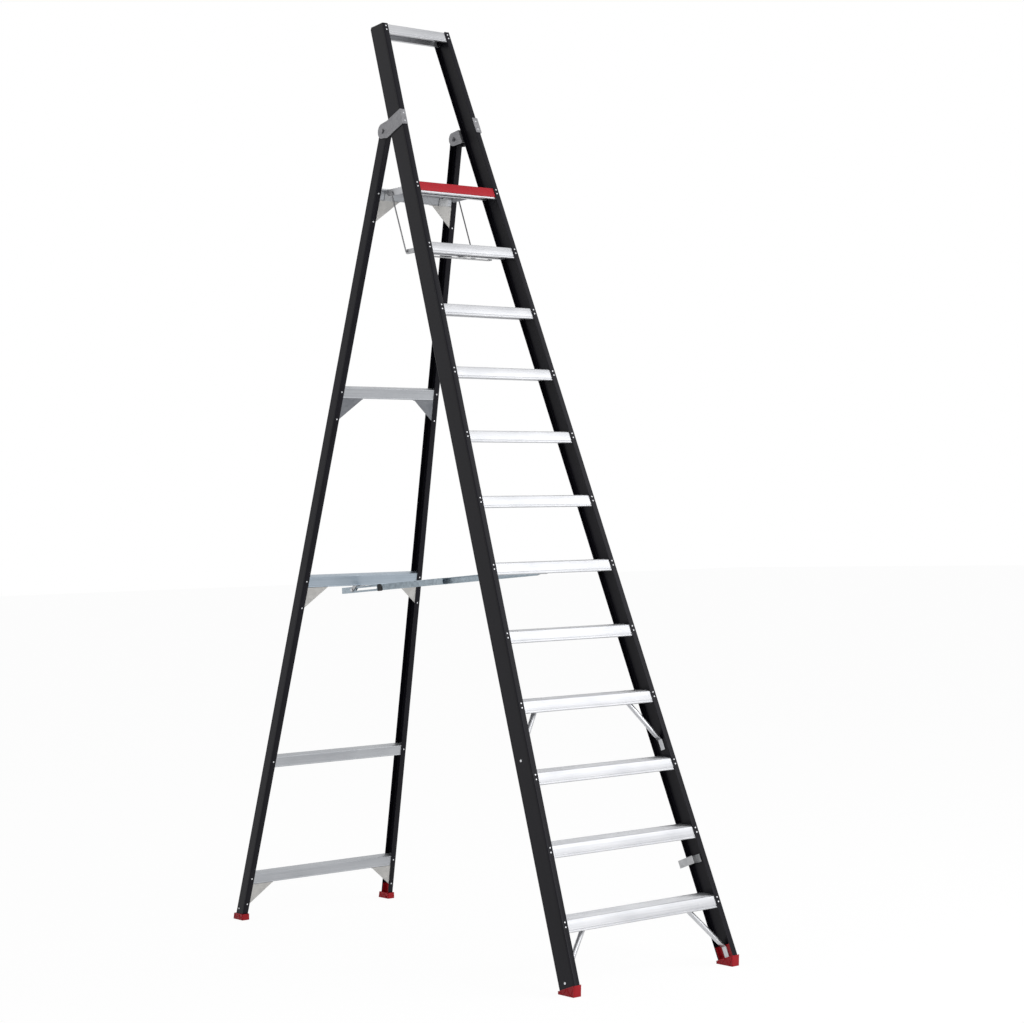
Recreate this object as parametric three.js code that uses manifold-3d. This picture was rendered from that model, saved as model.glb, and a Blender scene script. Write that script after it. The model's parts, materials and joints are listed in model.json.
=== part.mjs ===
// A tall single-sided platform step ladder. A front frame with eleven treads, a platform and a
// handrail leans back, and a rear frame with five bars is hinged to it high up on both sides.
// Folding the rear frame raises the platform deck and breaks a two-piece stay in the middle.
//
// Millimetres, +Z up, +Y to the rear, origin on the floor under the middle of the footprint.
// Inside each frame, x runs across, d runs back from the face of the front flange and s runs up
// the stile from the floor.

import * as THREE from 'three';
import { mergeVertices } from 'three/addons/utils/BufferGeometryUtils.js';
import Module from 'manifold-3d';

const wasm = await Module();
wasm.setup();

// Frames: both lean towards each other, and their stiles close in towards the top.
const FRONT_LEAN = THREE.MathUtils.degToRad(20);
const REAR_LEAN = THREE.MathUtils.degToRad(16);
const BASE_HALF_WIDTH = 370.6;
const FRONT_TAPER = 0.0583;
const REAR_TAPER = 0.06;

// Treads, counted from the floor; the platform is one pitch above the last of them.
const TREAD_COUNT = 11;
const TREAD_PITCH = 250;
const FIRST_TREAD = 239.5;
const TREAD_WALL = 2;
const TREAD_RISE = 14.5;
const TREAD_FRONT_DROP = 27.5;
const TREAD_REAR_DEPTH = 40;
const TREAD_LIP = 8;
const RIB_COUNT = 7;
const PLATFORM_RIB_COUNT = 3;
const RIB_WIDTH = 4;
const RIB_HEIGHT = 1.2;

// Channel profiles of the stiles.
const STILE_WALL = 2.6;
const STILE_CORNER = 3;
const FRONT_STILE_DEPTH = 84;
const FRONT_STILE_FLANGE = 23;
const FRONT_STILE_REAR_FLANGE = 20;
const REAR_STILE_DEPTH = 49.6;
const REAR_STILE_FLANGE = 23.5;

// Handrail above the platform.
const STILE_TOP_RISE = 688.3;
const STILE_TOP_CORNER = 16;
const HANDRAIL_BELOW_TOP = 19.8;
const HANDRAIL_RISE = 19.3;
const HANDRAIL_FRONT_DROP = 22;
const HANDRAIL_REAR_DEPTH = 49;

// Main hinge: height above the platform line, distance behind the front flange, and where the
// bolt goes through the rear stile.
const HINGE_RISE = 292;
const HINGE_BEHIND_STILE = 44;
const HINGE_IN_REAR_STILE = 28;
const HINGE_PLATE = 3;
const HINGE_PLATE_HEIGHT = 62;
const HINGE_DROP = 9.5;
const HINGE_EAR_RADIUS = 29;
const INNER_EAR_RADIUS = 26;
const INNER_EAR_INSET = 26.4;
const INNER_EAR_PLATE = 2.5;
const INNER_EAR_BELOW = 36;
const INNER_EAR_ABOVE = 16;
const HINGE_STRIP = 20.8;
const HINGE_BOLT_RADIUS = 5;
const BOLT_HEAD_RADIUS = 9;
const BOLT_HEAD = 4;
const BOLT_NUT = 5.5;
const BOLT_PLAY = 1.2;
const REAR_SIDE_PLAY = 1.6;

// Rear bars: each lies this far above a tread when the ladder is folded flat.
const REAR_BARS = [
  { tread: 1, above: 60.9, gussets: true },
  { tread: 3, above: 51.8, gussets: false },
  { tread: 6, above: 40, gussets: true },
  { tread: 9, above: 44.4, gussets: true },
  { tread: 12, above: 60.3, gussets: true },
];
const STAY_BAR = 2;
const BAR_RISE = 17;
const BAR_DROP = 25;
const BAR_DEPTH = 35;
const BAR_WALL = 2;
const GUSSET_REACH = 117;
const GUSSET_DROP = 86;
const GUSSET_FOOT = 19;
const GUSSET_PLATE = 2.5;
const GUSSET_TAB = 22;
const GUSSET_INSET = 6.5;

// Platform deck, its seats on the top rear bar, and the linkage that lifts it.
const NOSING_WALL = 2.7;
const NOSING_REACH = 40;
const NOSING_ABOVE_FOOT = 6;
const DECK_INSET = 43.3;
const DECK_SHEET = 2.5;
const DECK_FLANGE = 25;
const DECK_FRONT = 11.6;
const DECK_REAR = 148.6;
const DECK_LIP = 11.1;
const DECK_RIBS = 8;
const LINK_PIVOT_BEHIND_TREAD = 6.9;
const LINK_PIVOT_DROP = 11.8;
const LINK_ARM = 111;
const LINK_EYE_RADIUS = 6.3;
const LINK_HEAD_HEIGHT = 5;
const LINK_PIN_RADIUS = 3;
const LUG_INSIDE_DECK = 13;
const LUG_WIDTH = 3;
const ROD_PLAY = 0.65;
const ROD_RADIUS = 2.75;
const ROD_HOOK = 10;
const ROD_HOLE_PLAY = 0.75;
const LINK_PIN_BEYOND_DECK = 1.6;
const LEVER_ARM_HALF = 9.5;
const LEVER_SHEET = 2.5;
const LEVER_LOBE_HALF = 10;
const LEVER_STRIP_DROP = 29.5;
const LEVER_TAB_HALF = 14;
const LEVER_TAB_REACH = 62;
const SEAT_INSIDE_DECK = 5;
const SEAT_WIDTH = 40;
const SEAT_SHEET = 2.5;
const SEAT_REACH = 20.5;
const SEAT_TOE = 4.5;

// Two-piece stay between tread 6 and the middle rear bar.
const STAY_TREAD = 6;
const STAY_FRONT_BEHIND_TREAD = 14.9;
const STAY_FRONT_RISE = 8.5;
const STAY_REAR_BEHIND_STILE = 3.4;
const STAY_REAR_DROP = 57.6;
const STAY_HEIGHT = 24;
const STAY_WIDTH = 12;
const STAY_SHEET = 2;
const STAY_ELBOW = 595;
const STAY_REAR_LAP = 35;
const STAY_FRONT_LAP = 20;
const STAY_TAIL = 75;
const STAY_END_RADIUS = 8;
const STAY_TONGUE = 20;
const STAY_STUD_RADIUS = 4;
const STAY_PIN_HEAD = 2.5;
const STAY_PIN_RADIUS = 3.5;
const STAY_SLOT_FROM = 26;
const STAY_SLOT_TO = 166;
const STAY_SLOT_HALF = 4.5;
const STAY_SPLIT = 1;
const STAY_SIDE_PLAY = 1;
const BRACKET_PLATE = 2.5;
const CLEVIS_EAR_ROOT = 13;
const CLEVIS_TAB = 10;
const CLEVIS_WING = 12;
const CLEVIS_REAR_FRONT = 8;

// Tread braces, feet and storage catch.
const BRACES = [
  { name: 'upper', tread: 4, topInset: 133, bolt: 179, liner: 0 },
  { name: 'lower', tread: 1, topInset: 160, bolt: 181, liner: 3.3 },
];
const BRACE_RADIUS = 9;
const BRACE_DEPTH = 47;
const BRACE_PLATE = 3;
const BRACE_PLATE_HALF = 11;
const BRACE_PLATE_ABOVE = 30;
const BRACE_PLATE_BELOW = 15;
const BRACE_PAD_HALF = 14;
const FRONT_STILE_FOOT = 41;
const SHOE_LIP = 2.5;
const SHOE_SIDE = 3.5;
const SHOE_TOE = 14;
const SHOE_HEEL_BEYOND_STILE = 11;
const LINER_WALL = 3;
const LINER_ROOT = 6;
const LINER_TOP = 86;
const REAR_FOOT_HEIGHT = 24;
const REAR_FOOT_FRONT = 12;
const REAR_FOOT_BEYOND_STILE = 11.4;
const REAR_FOOT_RAKE = 6;
const REAR_LINER_BELOW_GUSSET = 10;
const CATCH_BOTTOM = 382;
const CATCH_TOP = 410;
const CATCH_FRONT = 30;
const CATCH_JOG = 50;
const CATCH_REACH = 42;
const CATCH_PLAY = 1;
const CATCH_SHEET = 2;

const GAP = 0.3;
const ROUND = 24;
const PIN_SIDES = 16;

// ---------------------------------------------------------------- worked-out places

const sinF = Math.sin(FRONT_LEAN);
const cosF = Math.cos(FRONT_LEAN);
const tanF = Math.tan(FRONT_LEAN);
const sinR = Math.sin(REAR_LEAN);
const cosR = Math.cos(REAR_LEAN);

const treadAt = (number) => FIRST_TREAD + (number - 1) * TREAD_PITCH;
const PLATFORM = treadAt(TREAD_COUNT + 1);
const STILE_TOP = PLATFORM + STILE_TOP_RISE;
const HANDRAIL = STILE_TOP - HANDRAIL_BELOW_TOP;
const HINGE_UP = PLATFORM + HINGE_RISE;
const frontHalf = (s) => BASE_HALF_WIDTH - FRONT_TAPER * s;

const BAR_FRONT = STILE_WALL + GAP;
const TREAD_FRONT = STILE_WALL + GAP;
const TREAD_REAR = FRONT_STILE_DEPTH - STILE_WALL - GAP;

const HINGE_SETBACK = FRONT_STILE_DEPTH + HINGE_BEHIND_STILE;
const LINK_PIVOT_SETBACK = TREAD_REAR + LINK_PIVOT_BEHIND_TREAD;
const STAY_FRONT_SETBACK = TREAD_REAR + STAY_FRONT_BEHIND_TREAD;
const STAY_REAR_SETBACK = REAR_STILE_DEPTH + STAY_REAR_BEHIND_STILE;
const SHOE_HEEL = FRONT_STILE_DEPTH + SHOE_HEEL_BEYOND_STILE;
const REAR_FOOT_REAR = REAR_STILE_DEPTH + REAR_FOOT_BEYOND_STILE;

// Across the deck, from the lugs inside its flanges to the rods outside them.
const DECK_HALF_WIDTH = frontHalf(PLATFORM) - DECK_INSET;
const LUG_X = DECK_HALF_WIDTH - LUG_INSIDE_DECK;
const SEAT_OUTER_X = DECK_HALF_WIDTH - SEAT_INSIDE_DECK;
const SEAT_INNER_X = SEAT_OUTER_X - SEAT_WIDTH;
const LINK_PIN_HALF = DECK_HALF_WIDTH + LINK_PIN_BEYOND_DECK;
const ROD_X = LINK_PIN_HALF + ROD_PLAY + ROD_RADIUS;
const ROD_HOLE_RADIUS = ROD_RADIUS + ROD_HOLE_PLAY;

/** World y and z of a point of the front frame. */
const frontToWorld = (d, s) => [s * sinF + d * cosF, s * cosF - d * sinF];

const [HINGE_Y, HINGE_Z] = frontToWorld(HINGE_SETBACK, HINGE_UP);
const REAR_HINGE_UP = (HINGE_Z - HINGE_IN_REAR_STILE * sinR) / cosR;
const REAR_Y = HINGE_Y + REAR_HINGE_UP * sinR - HINGE_IN_REAR_STILE * cosR;
const rearHalf = (s) =>
  frontHalf(HINGE_UP) - REAR_SIDE_PLAY + REAR_TAPER * (REAR_HINGE_UP - s);

/** World y and z of a point of the rear frame. */
const rearToWorld = (d, s) => [REAR_Y - s * sinR + d * cosR, s * cosR + d * sinR];

const barAt = (bar) => REAR_HINGE_UP - HINGE_UP + treadAt(bar.tread) + bar.above;

const TOP_BAR = barAt(REAR_BARS[REAR_BARS.length - 1]);
const REAR_LINER_TOP =
  barAt(REAR_BARS[0]) - BAR_DROP - GAP - GUSSET_DROP - REAR_LINER_BELOW_GUSSET;

/** Height of a tread's top above its centre line, d behind the flange face: the top is level. */
const treadTop = (d, rise = TREAD_RISE) => rise + (d - TREAD_FRONT) * tanF;

/** World place of the linkage pivot behind a tread. */
function linkPivot(number) {
  const level = frontToWorld(TREAD_FRONT, treadAt(number) + TREAD_RISE)[1];
  const z = level - LINK_PIVOT_DROP;
  return [(LINK_PIVOT_SETBACK + z * sinF) / cosF, z];
}

const [DECK_PIVOT_Y, DECK_PIVOT_Z] = linkPivot(TREAD_COUNT + 1);
const [LEVER_PIVOT_Y, LEVER_PIVOT_Z] = linkPivot(TREAD_COUNT);

const STAY_FRONT_UP = treadAt(STAY_TREAD) + STAY_FRONT_RISE;
const STAY_FRONT_PIVOT = frontToWorld(STAY_FRONT_SETBACK, STAY_FRONT_UP);
const STAY_REAR_UP = barAt(REAR_BARS[STAY_BAR]) - STAY_REAR_DROP;
const STAY_REAR_PIVOT = rearToWorld(STAY_REAR_SETBACK, STAY_REAR_UP);
const STAY_RUN = STAY_REAR_PIVOT[0] - STAY_FRONT_PIVOT[0];
const STAY_FALL = STAY_FRONT_PIVOT[1] - STAY_REAR_PIVOT[1];
const STAY_SPAN = Math.hypot(STAY_RUN, STAY_FALL);
const STAY_SLOPE = Math.atan2(STAY_FALL, STAY_RUN);

// Ears of the clevises, from left to right: one lies in the split between the halves of the stay.
const NEAR_EAR = [STAY_SPLIT - GAP - BRACKET_PLATE, STAY_SPLIT - GAP];
const FAR_EAR_INNER = STAY_SPLIT + STAY_WIDTH + STAY_SIDE_PLAY;
const FAR_EAR = [FAR_EAR_INNER, FAR_EAR_INNER + BRACKET_PLATE];
const FRONT_EARS = [NEAR_EAR, FAR_EAR];
const REAR_EARS = [
  [-FAR_EAR[1], -FAR_EAR[0]],
  [-NEAR_EAR[1], -NEAR_EAR[0]],
];

// The footprint runs from the toe of the front feet to the heel of the rear feet.
const SHOE_TOP = FRONT_STILE_FOOT - GAP;
const FOOTPRINT_FRONT = Math.min(frontToWorld(-SHOE_LIP, SHOE_TOP)[0], SHOE_TOE);
const FOOTPRINT_MIDDLE = (FOOTPRINT_FRONT + REAR_Y + REAR_FOOT_REAR) / 2;

// ---------------------------------------------------------------- finishes

const FINISH = {
  darkCoat: { color: 0x2f2e33, roughness: 0.5, metalness: 0.3 },
  aluminium: { color: 0xc9cace, roughness: 0.35, metalness: 0.9 },
  barMetal: { color: 0xb4b6bb, roughness: 0.4, metalness: 0.85 },
  galvanised: { color: 0xa3a5a8, roughness: 0.5, metalness: 0.7 },
  steel: { color: 0x8c8f94, roughness: 0.35, metalness: 0.9 },
  redPlastic: { color: 0xb9202d, roughness: 0.45, metalness: 0 },
};

// ---------------------------------------------------------------- shape helpers

const X = new THREE.Vector3(1, 0, 0);
const Y = new THREE.Vector3(0, 1, 0);
const Z = new THREE.Vector3(0, 0, 1);
const ACROSS = new THREE.Matrix4().makeBasis(Y, Z, X);
const BACKWARDS = new THREE.Matrix4().makeBasis(X, Z, Y.clone().negate());

function extrude(outline, length) {
  const shape = new THREE.Shape(outline.map(([a, b]) => new THREE.Vector2(a, b)));
  return new THREE.ExtrudeGeometry(shape, { depth: length, bevelEnabled: false });
}

/** A prism along +Z from an outline of x and d. */
const prismUp = (outline, from, to) => extrude(outline, to - from).translate(0, 0, from);

/** A prism along X from an outline of d (or y) and s (or z). */
const prismAcross = (outline, from, to) =>
  extrude(outline, to - from).applyMatrix4(ACROSS).translate(from, 0, 0);

/** A prism along Y from an outline of x and s (or z). */
const prismBack = (outline, from, to) =>
  extrude(outline, to - from).applyMatrix4(BACKWARDS).translate(0, to, 0);

const box = (x0, x1, y0, y1, z0, z1) =>
  new THREE.BoxGeometry(x1 - x0, y1 - y0, z1 - z0)
    .translate((x0 + x1) / 2, (y0 + y1) / 2, (z0 + z1) / 2);

/** A round bar along X through the point y, z. */
const barAcross = (radius, from, to, y, z, sides = PIN_SIDES) =>
  new THREE.CylinderGeometry(radius, radius, to - from, sides)
    .rotateZ(Math.PI / 2)
    .translate((from + to) / 2, y, z);

/** A round bar between two points. */
function barBetween(start, end, radius, sides) {
  const axis = end.clone().sub(start);
  const turn = new THREE.Quaternion().setFromUnitVectors(Y, axis.clone().normalize());
  return new THREE.CylinderGeometry(radius, radius, axis.length(), sides)
    .applyQuaternion(turn)
    .translate(...start.clone().add(end).multiplyScalar(0.5).toArray());
}

function arc(centreA, centreB, radius, from, to, steps) {
  return Array.from({ length: steps + 1 }, (_, i) => {
    const angle = from + ((to - from) * i) / steps;
    return [centreA + radius * Math.cos(angle), centreB + radius * Math.sin(angle)];
  });
}

function toSolid(geometry) {
  const bare = geometry.clone();
  bare.deleteAttribute('normal');
  bare.deleteAttribute('uv');
  const merged = mergeVertices(bare);
  return new wasm.Manifold(new wasm.Mesh({
    numProp: 3,
    vertProperties: Float32Array.from(merged.attributes.position.array),
    triVerts: Uint32Array.from(merged.index.array),
  }));
}

function toGeometry(solid) {
  const { vertProperties, triVerts } = solid.getMesh();
  const geometry = new THREE.BufferGeometry();
  geometry.setAttribute('position', new THREE.BufferAttribute(vertProperties, 3));
  geometry.setIndex(Array.from(triVerts));
  return geometry;
}

const join = (...pieces) =>
  toGeometry(pieces.map(toSolid).reduce((whole, piece) => whole.add(piece)));

const cut = (body, ...tools) =>
  toGeometry(tools.map(toSolid).reduce((whole, tool) => whole.subtract(tool), toSolid(body)));

const common = (body, other) => toGeometry(toSolid(body).intersect(toSolid(other)));

function addPart(group, name, geometry, finish) {
  const mesh = new THREE.Mesh(geometry, new THREE.MeshStandardMaterial(finish));
  mesh.name = name;
  group.add(mesh);
  return mesh;
}

/** Leans a shape made along an upright stile so that it follows the stile's taper. */
function lean(geometry, side, halfWidth, taper) {
  return geometry.applyMatrix4(new THREE.Matrix4().set(
    1, 0, -side * taper, side * halfWidth,
    0, 1, 0, 0,
    0, 0, 1, 0,
    0, 0, 0, 1));
}

const leanFront = (geometry, side) => lean(geometry, side, BASE_HALF_WIDTH, FRONT_TAPER);
const leanRear = (geometry, side) => lean(geometry, side, rearHalf(0), REAR_TAPER);

const sided = (outline, side) => outline.map(([x, d]) => [side * x, d]);

/** The span from one distance to another on one side of the middle plane, lower end first. */
const span = (side, a, b) => [Math.min(side * a, side * b), Math.max(side * a, side * b)];

/** Channel section with its web at x = 0 and its flanges towards -x. */
function channelOutline(depth, flange, rearFlange) {
  const r = STILE_CORNER;
  const quarter = Math.PI / 2;
  return [
    [-flange, 0],
    ...arc(-r, r, r, -quarter, 0, 3),
    ...arc(-r, depth - r, r, 0, quarter, 3),
    [-rearFlange, depth],
    [-rearFlange, depth - STILE_WALL],
    [-STILE_WALL, depth - STILE_WALL],
    [-STILE_WALL, STILE_WALL],
    [-flange, STILE_WALL],
  ];
}

const SIDES = [
  { side: -1, name: 'left' },
  { side: 1, name: 'right' },
];

const ladder = new THREE.Group();
ladder.position.y = -FOOTPRINT_MIDDLE;

const frontFrame = new THREE.Group();
frontFrame.rotation.x = -FRONT_LEAN;
ladder.add(frontFrame);

const rearFrame = new THREE.Group();
rearFrame.rotation.x = REAR_LEAN;
rearFrame.position.y = REAR_Y;
ladder.add(rearFrame);

// ---------------------------------------------------------------- front frame

/** Front stile: a channel squared off at the foot and level at the top, its rear corner round. */
function frontStile(side) {
  const section = sided(
    channelOutline(FRONT_STILE_DEPTH, FRONT_STILE_FLANGE, FRONT_STILE_REAR_FLANGE), side);
  const blank = leanFront(prismUp(section, 0, STILE_TOP * 1.05), side);
  const r = STILE_TOP_CORNER;
  const cornerD = FRONT_STILE_DEPTH - r;
  const cornerS = STILE_TOP + cornerD * tanF - r / cosF;
  const silhouette = [
    [-1, FRONT_STILE_FOOT],
    [FRONT_STILE_DEPTH, FRONT_STILE_FOOT],
    ...arc(cornerD, cornerS, r, 0, Math.PI / 2 + FRONT_LEAN, 5),
    [-1, STILE_TOP - tanF],
  ];
  return common(blank, prismAcross(silhouette, -2 * BASE_HALF_WIDTH, 2 * BASE_HALF_WIDTH));
}

/** Ribs standing on a level top between two depths, as points of its outline. */
function ribs(from, to, count, top) {
  const pitch = (to - from - RIB_WIDTH) / (count - 1);
  return Array.from({ length: count }, (_, i) => {
    const start = from + i * pitch;
    const end = start + RIB_WIDTH;
    return [
      [start, top(start)], [start, top(start) + RIB_HEIGHT],
      [end, top(end) + RIB_HEIGHT], [end, top(end)],
    ];
  }).flat();
}

/**
 * Section of a tread: a level top and two legs with short lips. A rebate lowers the front of
 * the top so that a nosing lies flush on it.
 */
function treadOutline({ front, rise, frontDrop, rearDepth, ribCount, rebate }) {
  const thick = TREAD_WALL / cosF;
  const top = (d) => treadTop(d, rise);
  const rearFoot = top(TREAD_REAR) - rearDepth;
  const inFront = front + TREAD_WALL;
  const inRear = TREAD_REAR - TREAD_WALL;
  const lipEnd = TREAD_REAR - TREAD_LIP;
  const step = rebate ? TREAD_FRONT + NOSING_REACH + GAP : front + TREAD_WALL;
  const inStep = step + TREAD_WALL;
  const surface = rebate
    ? [[front, top(front) - rebate], [step, top(step) - rebate], [step, top(step)]]
    : [[front, top(front) - TREAD_WALL], [step, top(step)]];
  const underside = rebate
    ? [[inStep, top(inStep) - thick], [inStep, top(inStep) - thick - rebate]]
    : [];
  return [
    [front, -frontDrop],
    ...surface,
    ...(ribCount ? ribs(step + TREAD_LIP / 2, lipEnd + TREAD_WALL, ribCount, top) : []),
    [TREAD_REAR, top(TREAD_REAR)],
    [TREAD_REAR, rearFoot],
    [lipEnd, rearFoot],
    [lipEnd, rearFoot + TREAD_WALL],
    [inRear, rearFoot + TREAD_WALL],
    [inRear, top(inRear) - thick],
    ...underside,
    [inFront, top(inFront) - thick - rebate],
    [inFront, -frontDrop + TREAD_WALL],
    [front + TREAD_LIP, -frontDrop + TREAD_WALL],
    [front + TREAD_LIP, -frontDrop],
  ];
}

const TREAD = {
  front: TREAD_FRONT,
  rise: TREAD_RISE,
  frontDrop: TREAD_FRONT_DROP,
  rearDepth: TREAD_REAR_DEPTH,
  ribCount: RIB_COUNT,
  rebate: 0,
};
const PLATFORM_TREAD = {
  ...TREAD,
  front: TREAD_FRONT + NOSING_WALL + GAP,
  ribCount: PLATFORM_RIB_COUNT,
  rebate: (NOSING_WALL + GAP) / cosF,
};
const HANDRAIL_BAR = {
  ...TREAD,
  rise: HANDRAIL_RISE,
  frontDrop: HANDRAIL_FRONT_DROP,
  rearDepth: HANDRAIL_REAR_DEPTH,
  ribCount: 0,
};

/** A bar of a given section between the stiles, as long as they allow at its highest point. */
function betweenStiles(outline, s) {
  const highest = s + Math.max(...outline.map((point) => point[1]));
  const half = frontHalf(highest) - STILE_WALL - 2 * GAP;
  return prismAcross(outline, -half, half);
}

/** A tread with two bored lugs on its rear wall for the pin of the deck linkage. */
function treadWithLugs(outline, number) {
  const [y, z] = linkPivot(number);
  const d = y * cosF - z * sinF;
  const s = y * sinF + z * cosF - treadAt(number);
  const root = TREAD_REAR - TREAD_WALL / 2;
  const lug = [
    [root, s - LINK_EYE_RADIUS],
    ...arc(d, s, LINK_EYE_RADIUS, -Math.PI / 2, Math.PI / 2, 8),
    [root, s + LINK_EYE_RADIUS],
  ];
  const lugs = SIDES.map(({ side }) =>
    prismAcross(lug, ...span(side, LUG_X, LUG_X + LUG_WIDTH)));
  const bore = barAcross(LINK_PIN_RADIUS + GAP, -LINK_PIN_HALF, LINK_PIN_HALF, d, s);
  return cut(join(betweenStiles(outline, treadAt(number)), ...lugs), bore);
}

/** Nosing: wraps the front and the front part of the top of the platform tread. */
function nosing() {
  const end = TREAD_FRONT + NOSING_REACH;
  const inside = TREAD_FRONT + NOSING_WALL;
  const skin = NOSING_WALL / cosF;
  const foot = -TREAD_FRONT_DROP + NOSING_ABOVE_FOOT;
  return betweenStiles([
    [TREAD_FRONT, foot],
    [TREAD_FRONT, TREAD_RISE - NOSING_WALL],
    [TREAD_FRONT + 1, TREAD_RISE - 1],
    [inside, treadTop(inside)],
    [end, treadTop(end)],
    [end, treadTop(end) - skin],
    [inside, treadTop(inside) - skin],
    [inside, foot],
  ], PLATFORM);
}

/** Brace: a tube from a pad under a tread to a flat end plate bolted to the web of a stile. */
function brace({ tread, topInset, bolt, liner }, side) {
  const s = treadAt(tread);
  const elbow = s - bolt + BRACE_PLATE_ABOVE;
  const foot = s - bolt - BRACE_PLATE_BELOW;
  const wallX = (at) => frontHalf(at) - STILE_WALL - GAP - liner;
  const padX = frontHalf(s) - topInset;
  const d0 = BRACE_DEPTH - BRACE_PLATE_HALF;
  const d1 = BRACE_DEPTH + BRACE_PLATE_HALF;
  const under = (d) => s + treadTop(d) - TREAD_WALL / cosF - GAP;
  const pad = prismAcross([
    [d0, under(d0)],
    [d1, under(d1)],
    [d1, under(d1) - BRACE_PLATE],
    [d0, under(d0) - BRACE_PLATE],
  ], ...span(side, padX - BRACE_PAD_HALF, padX + BRACE_PAD_HALF));
  const plate = prismBack([
    [side * wallX(foot), foot],
    [side * (wallX(foot) - BRACE_PLATE), foot],
    [side * (wallX(elbow) - BRACE_PLATE), elbow],
    [side * wallX(elbow), elbow],
  ], d0, d1);
  const tube = barBetween(
    new THREE.Vector3(side * (wallX(elbow) - BRACE_PLATE), BRACE_DEPTH, elbow - BRACE_RADIUS),
    new THREE.Vector3(side * padX, BRACE_DEPTH, under(BRACE_DEPTH)),
    BRACE_RADIUS, PIN_SIDES);
  const underTread = prismAcross([
    [0, foot],
    [FRONT_STILE_DEPTH, foot],
    [FRONT_STILE_DEPTH, under(FRONT_STILE_DEPTH)],
    [0, under(0)],
  ], -BASE_HALF_WIDTH, BASE_HALF_WIDTH);
  const insideWeb = prismBack([
    [0, foot],
    [side * wallX(foot), foot],
    [side * wallX(s), s],
    [side * wallX(s), s + FRONT_STILE_DEPTH],
    [0, s + FRONT_STILE_DEPTH],
  ], 0, FRONT_STILE_DEPTH);
  return join(common(common(tube, underTread), insideWeb), pad, plate);
}

/** Front foot: a wedge under the squared end of the stile and a lining inside the channel. */
function frontFoot(side) {
  const onFloor = (y) => [y * cosF, y * sinF];
  const width = frontHalf(SHOE_TOP);
  const wedge = prismAcross([
    [-SHOE_LIP, SHOE_TOP],
    onFloor(SHOE_TOE),
    onFloor(SHOE_HEEL),
    [FRONT_STILE_DEPTH + SHOE_LIP, SHOE_TOP],
  ], ...span(side, width - FRONT_STILE_FLANGE - SHOE_LIP, width + SHOE_SIDE));
  const lining = liningOutline(FRONT_STILE_DEPTH, FRONT_STILE_REAR_FLANGE - SHOE_LIP);
  return join(
    wedge, leanFront(prismUp(sided(lining, side), SHOE_TOP - LINER_ROOT, LINER_TOP), side));
}

/** Section of the lining of a foot: a smaller channel inside the channel of a stile. */
function liningOutline(depth, rim) {
  const wall = STILE_WALL + GAP;
  const inner = wall + LINER_WALL;
  return [
    [-rim, wall],
    [-wall, wall],
    [-wall, depth - wall],
    [-rim, depth - wall],
    [-rim, depth - inner],
    [-inner, depth - inner],
    [-inner, inner],
    [-rim, inner],
  ];
}

/** Hinge plate: a strip on the front flange, round the corner, back along the web to the bolt. */
function hingePlate(side) {
  const low = HINGE_UP - HINGE_DROP - HINGE_PLATE_HEIGHT / 2;
  const high = low + HINGE_PLATE_HEIGHT;
  const front = -GAP - HINGE_PLATE;
  const cheek = prismAcross([
    [front, low],
    [HINGE_SETBACK - 20, low],
    ...arc(HINGE_SETBACK, HINGE_UP, HINGE_EAR_RADIUS, -Math.PI * 0.45, Math.PI / 2, 12),
    [HINGE_SETBACK - 40, high],
    [front, high],
  ], ...span(side, GAP, GAP + HINGE_PLATE));
  const [x0, x1] = span(side, -HINGE_STRIP, GAP + HINGE_PLATE);
  const strip = box(x0, x1, front, -GAP, low, high);
  const bore = barAcross(
    HINGE_BOLT_RADIUS + GAP, -HINGE_STRIP, HINGE_STRIP, HINGE_SETBACK, HINGE_UP, ROUND);
  return leanFront(cut(join(cheek, strip), bore), side);
}

/** Inner ear: an angle on the rear flange that carries the inner end of the hinge bolt. */
function hingeEar(side) {
  const back = FRONT_STILE_DEPTH + GAP;
  const low = HINGE_UP - INNER_EAR_BELOW;
  const high = HINGE_UP + INNER_EAR_ABOVE;
  const far = INNER_EAR_INSET + INNER_EAR_PLATE;
  const ear = prismAcross([
    [back, low],
    [back + 12, low],
    ...arc(HINGE_SETBACK, HINGE_UP, INNER_EAR_RADIUS, -Math.PI * 0.4, Math.PI / 2, 12),
    [back, high],
  ], ...span(side, -far, -INNER_EAR_INSET));
  const [x0, x1] = span(side, -far, -STILE_CORNER);
  const base = box(x0, x1, back, back + INNER_EAR_PLATE, low, high);
  const bore = barAcross(
    HINGE_BOLT_RADIUS + GAP, -2 * far, 2 * far, HINGE_SETBACK, HINGE_UP, ROUND);
  return leanFront(cut(join(ear, base), bore), side);
}

/** Hinge bolt with a round head outside and a nut inside. */
function hingeBolt(side) {
  const outer = frontHalf(HINGE_UP) + HINGE_PLATE + BOLT_PLAY;
  const inner = frontHalf(HINGE_UP) - INNER_EAR_INSET - INNER_EAR_PLATE - BOLT_PLAY;
  const at = [HINGE_SETBACK, HINGE_UP];
  return join(
    barAcross(HINGE_BOLT_RADIUS, ...span(side, inner - BOLT_NUT - 2, outer + 1), ...at, ROUND),
    barAcross(BOLT_HEAD_RADIUS, ...span(side, outer, outer + BOLT_HEAD), ...at, ROUND),
    barAcross(BOLT_HEAD_RADIUS, ...span(side, inner - BOLT_NUT, inner), ...at, 6));
}

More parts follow.
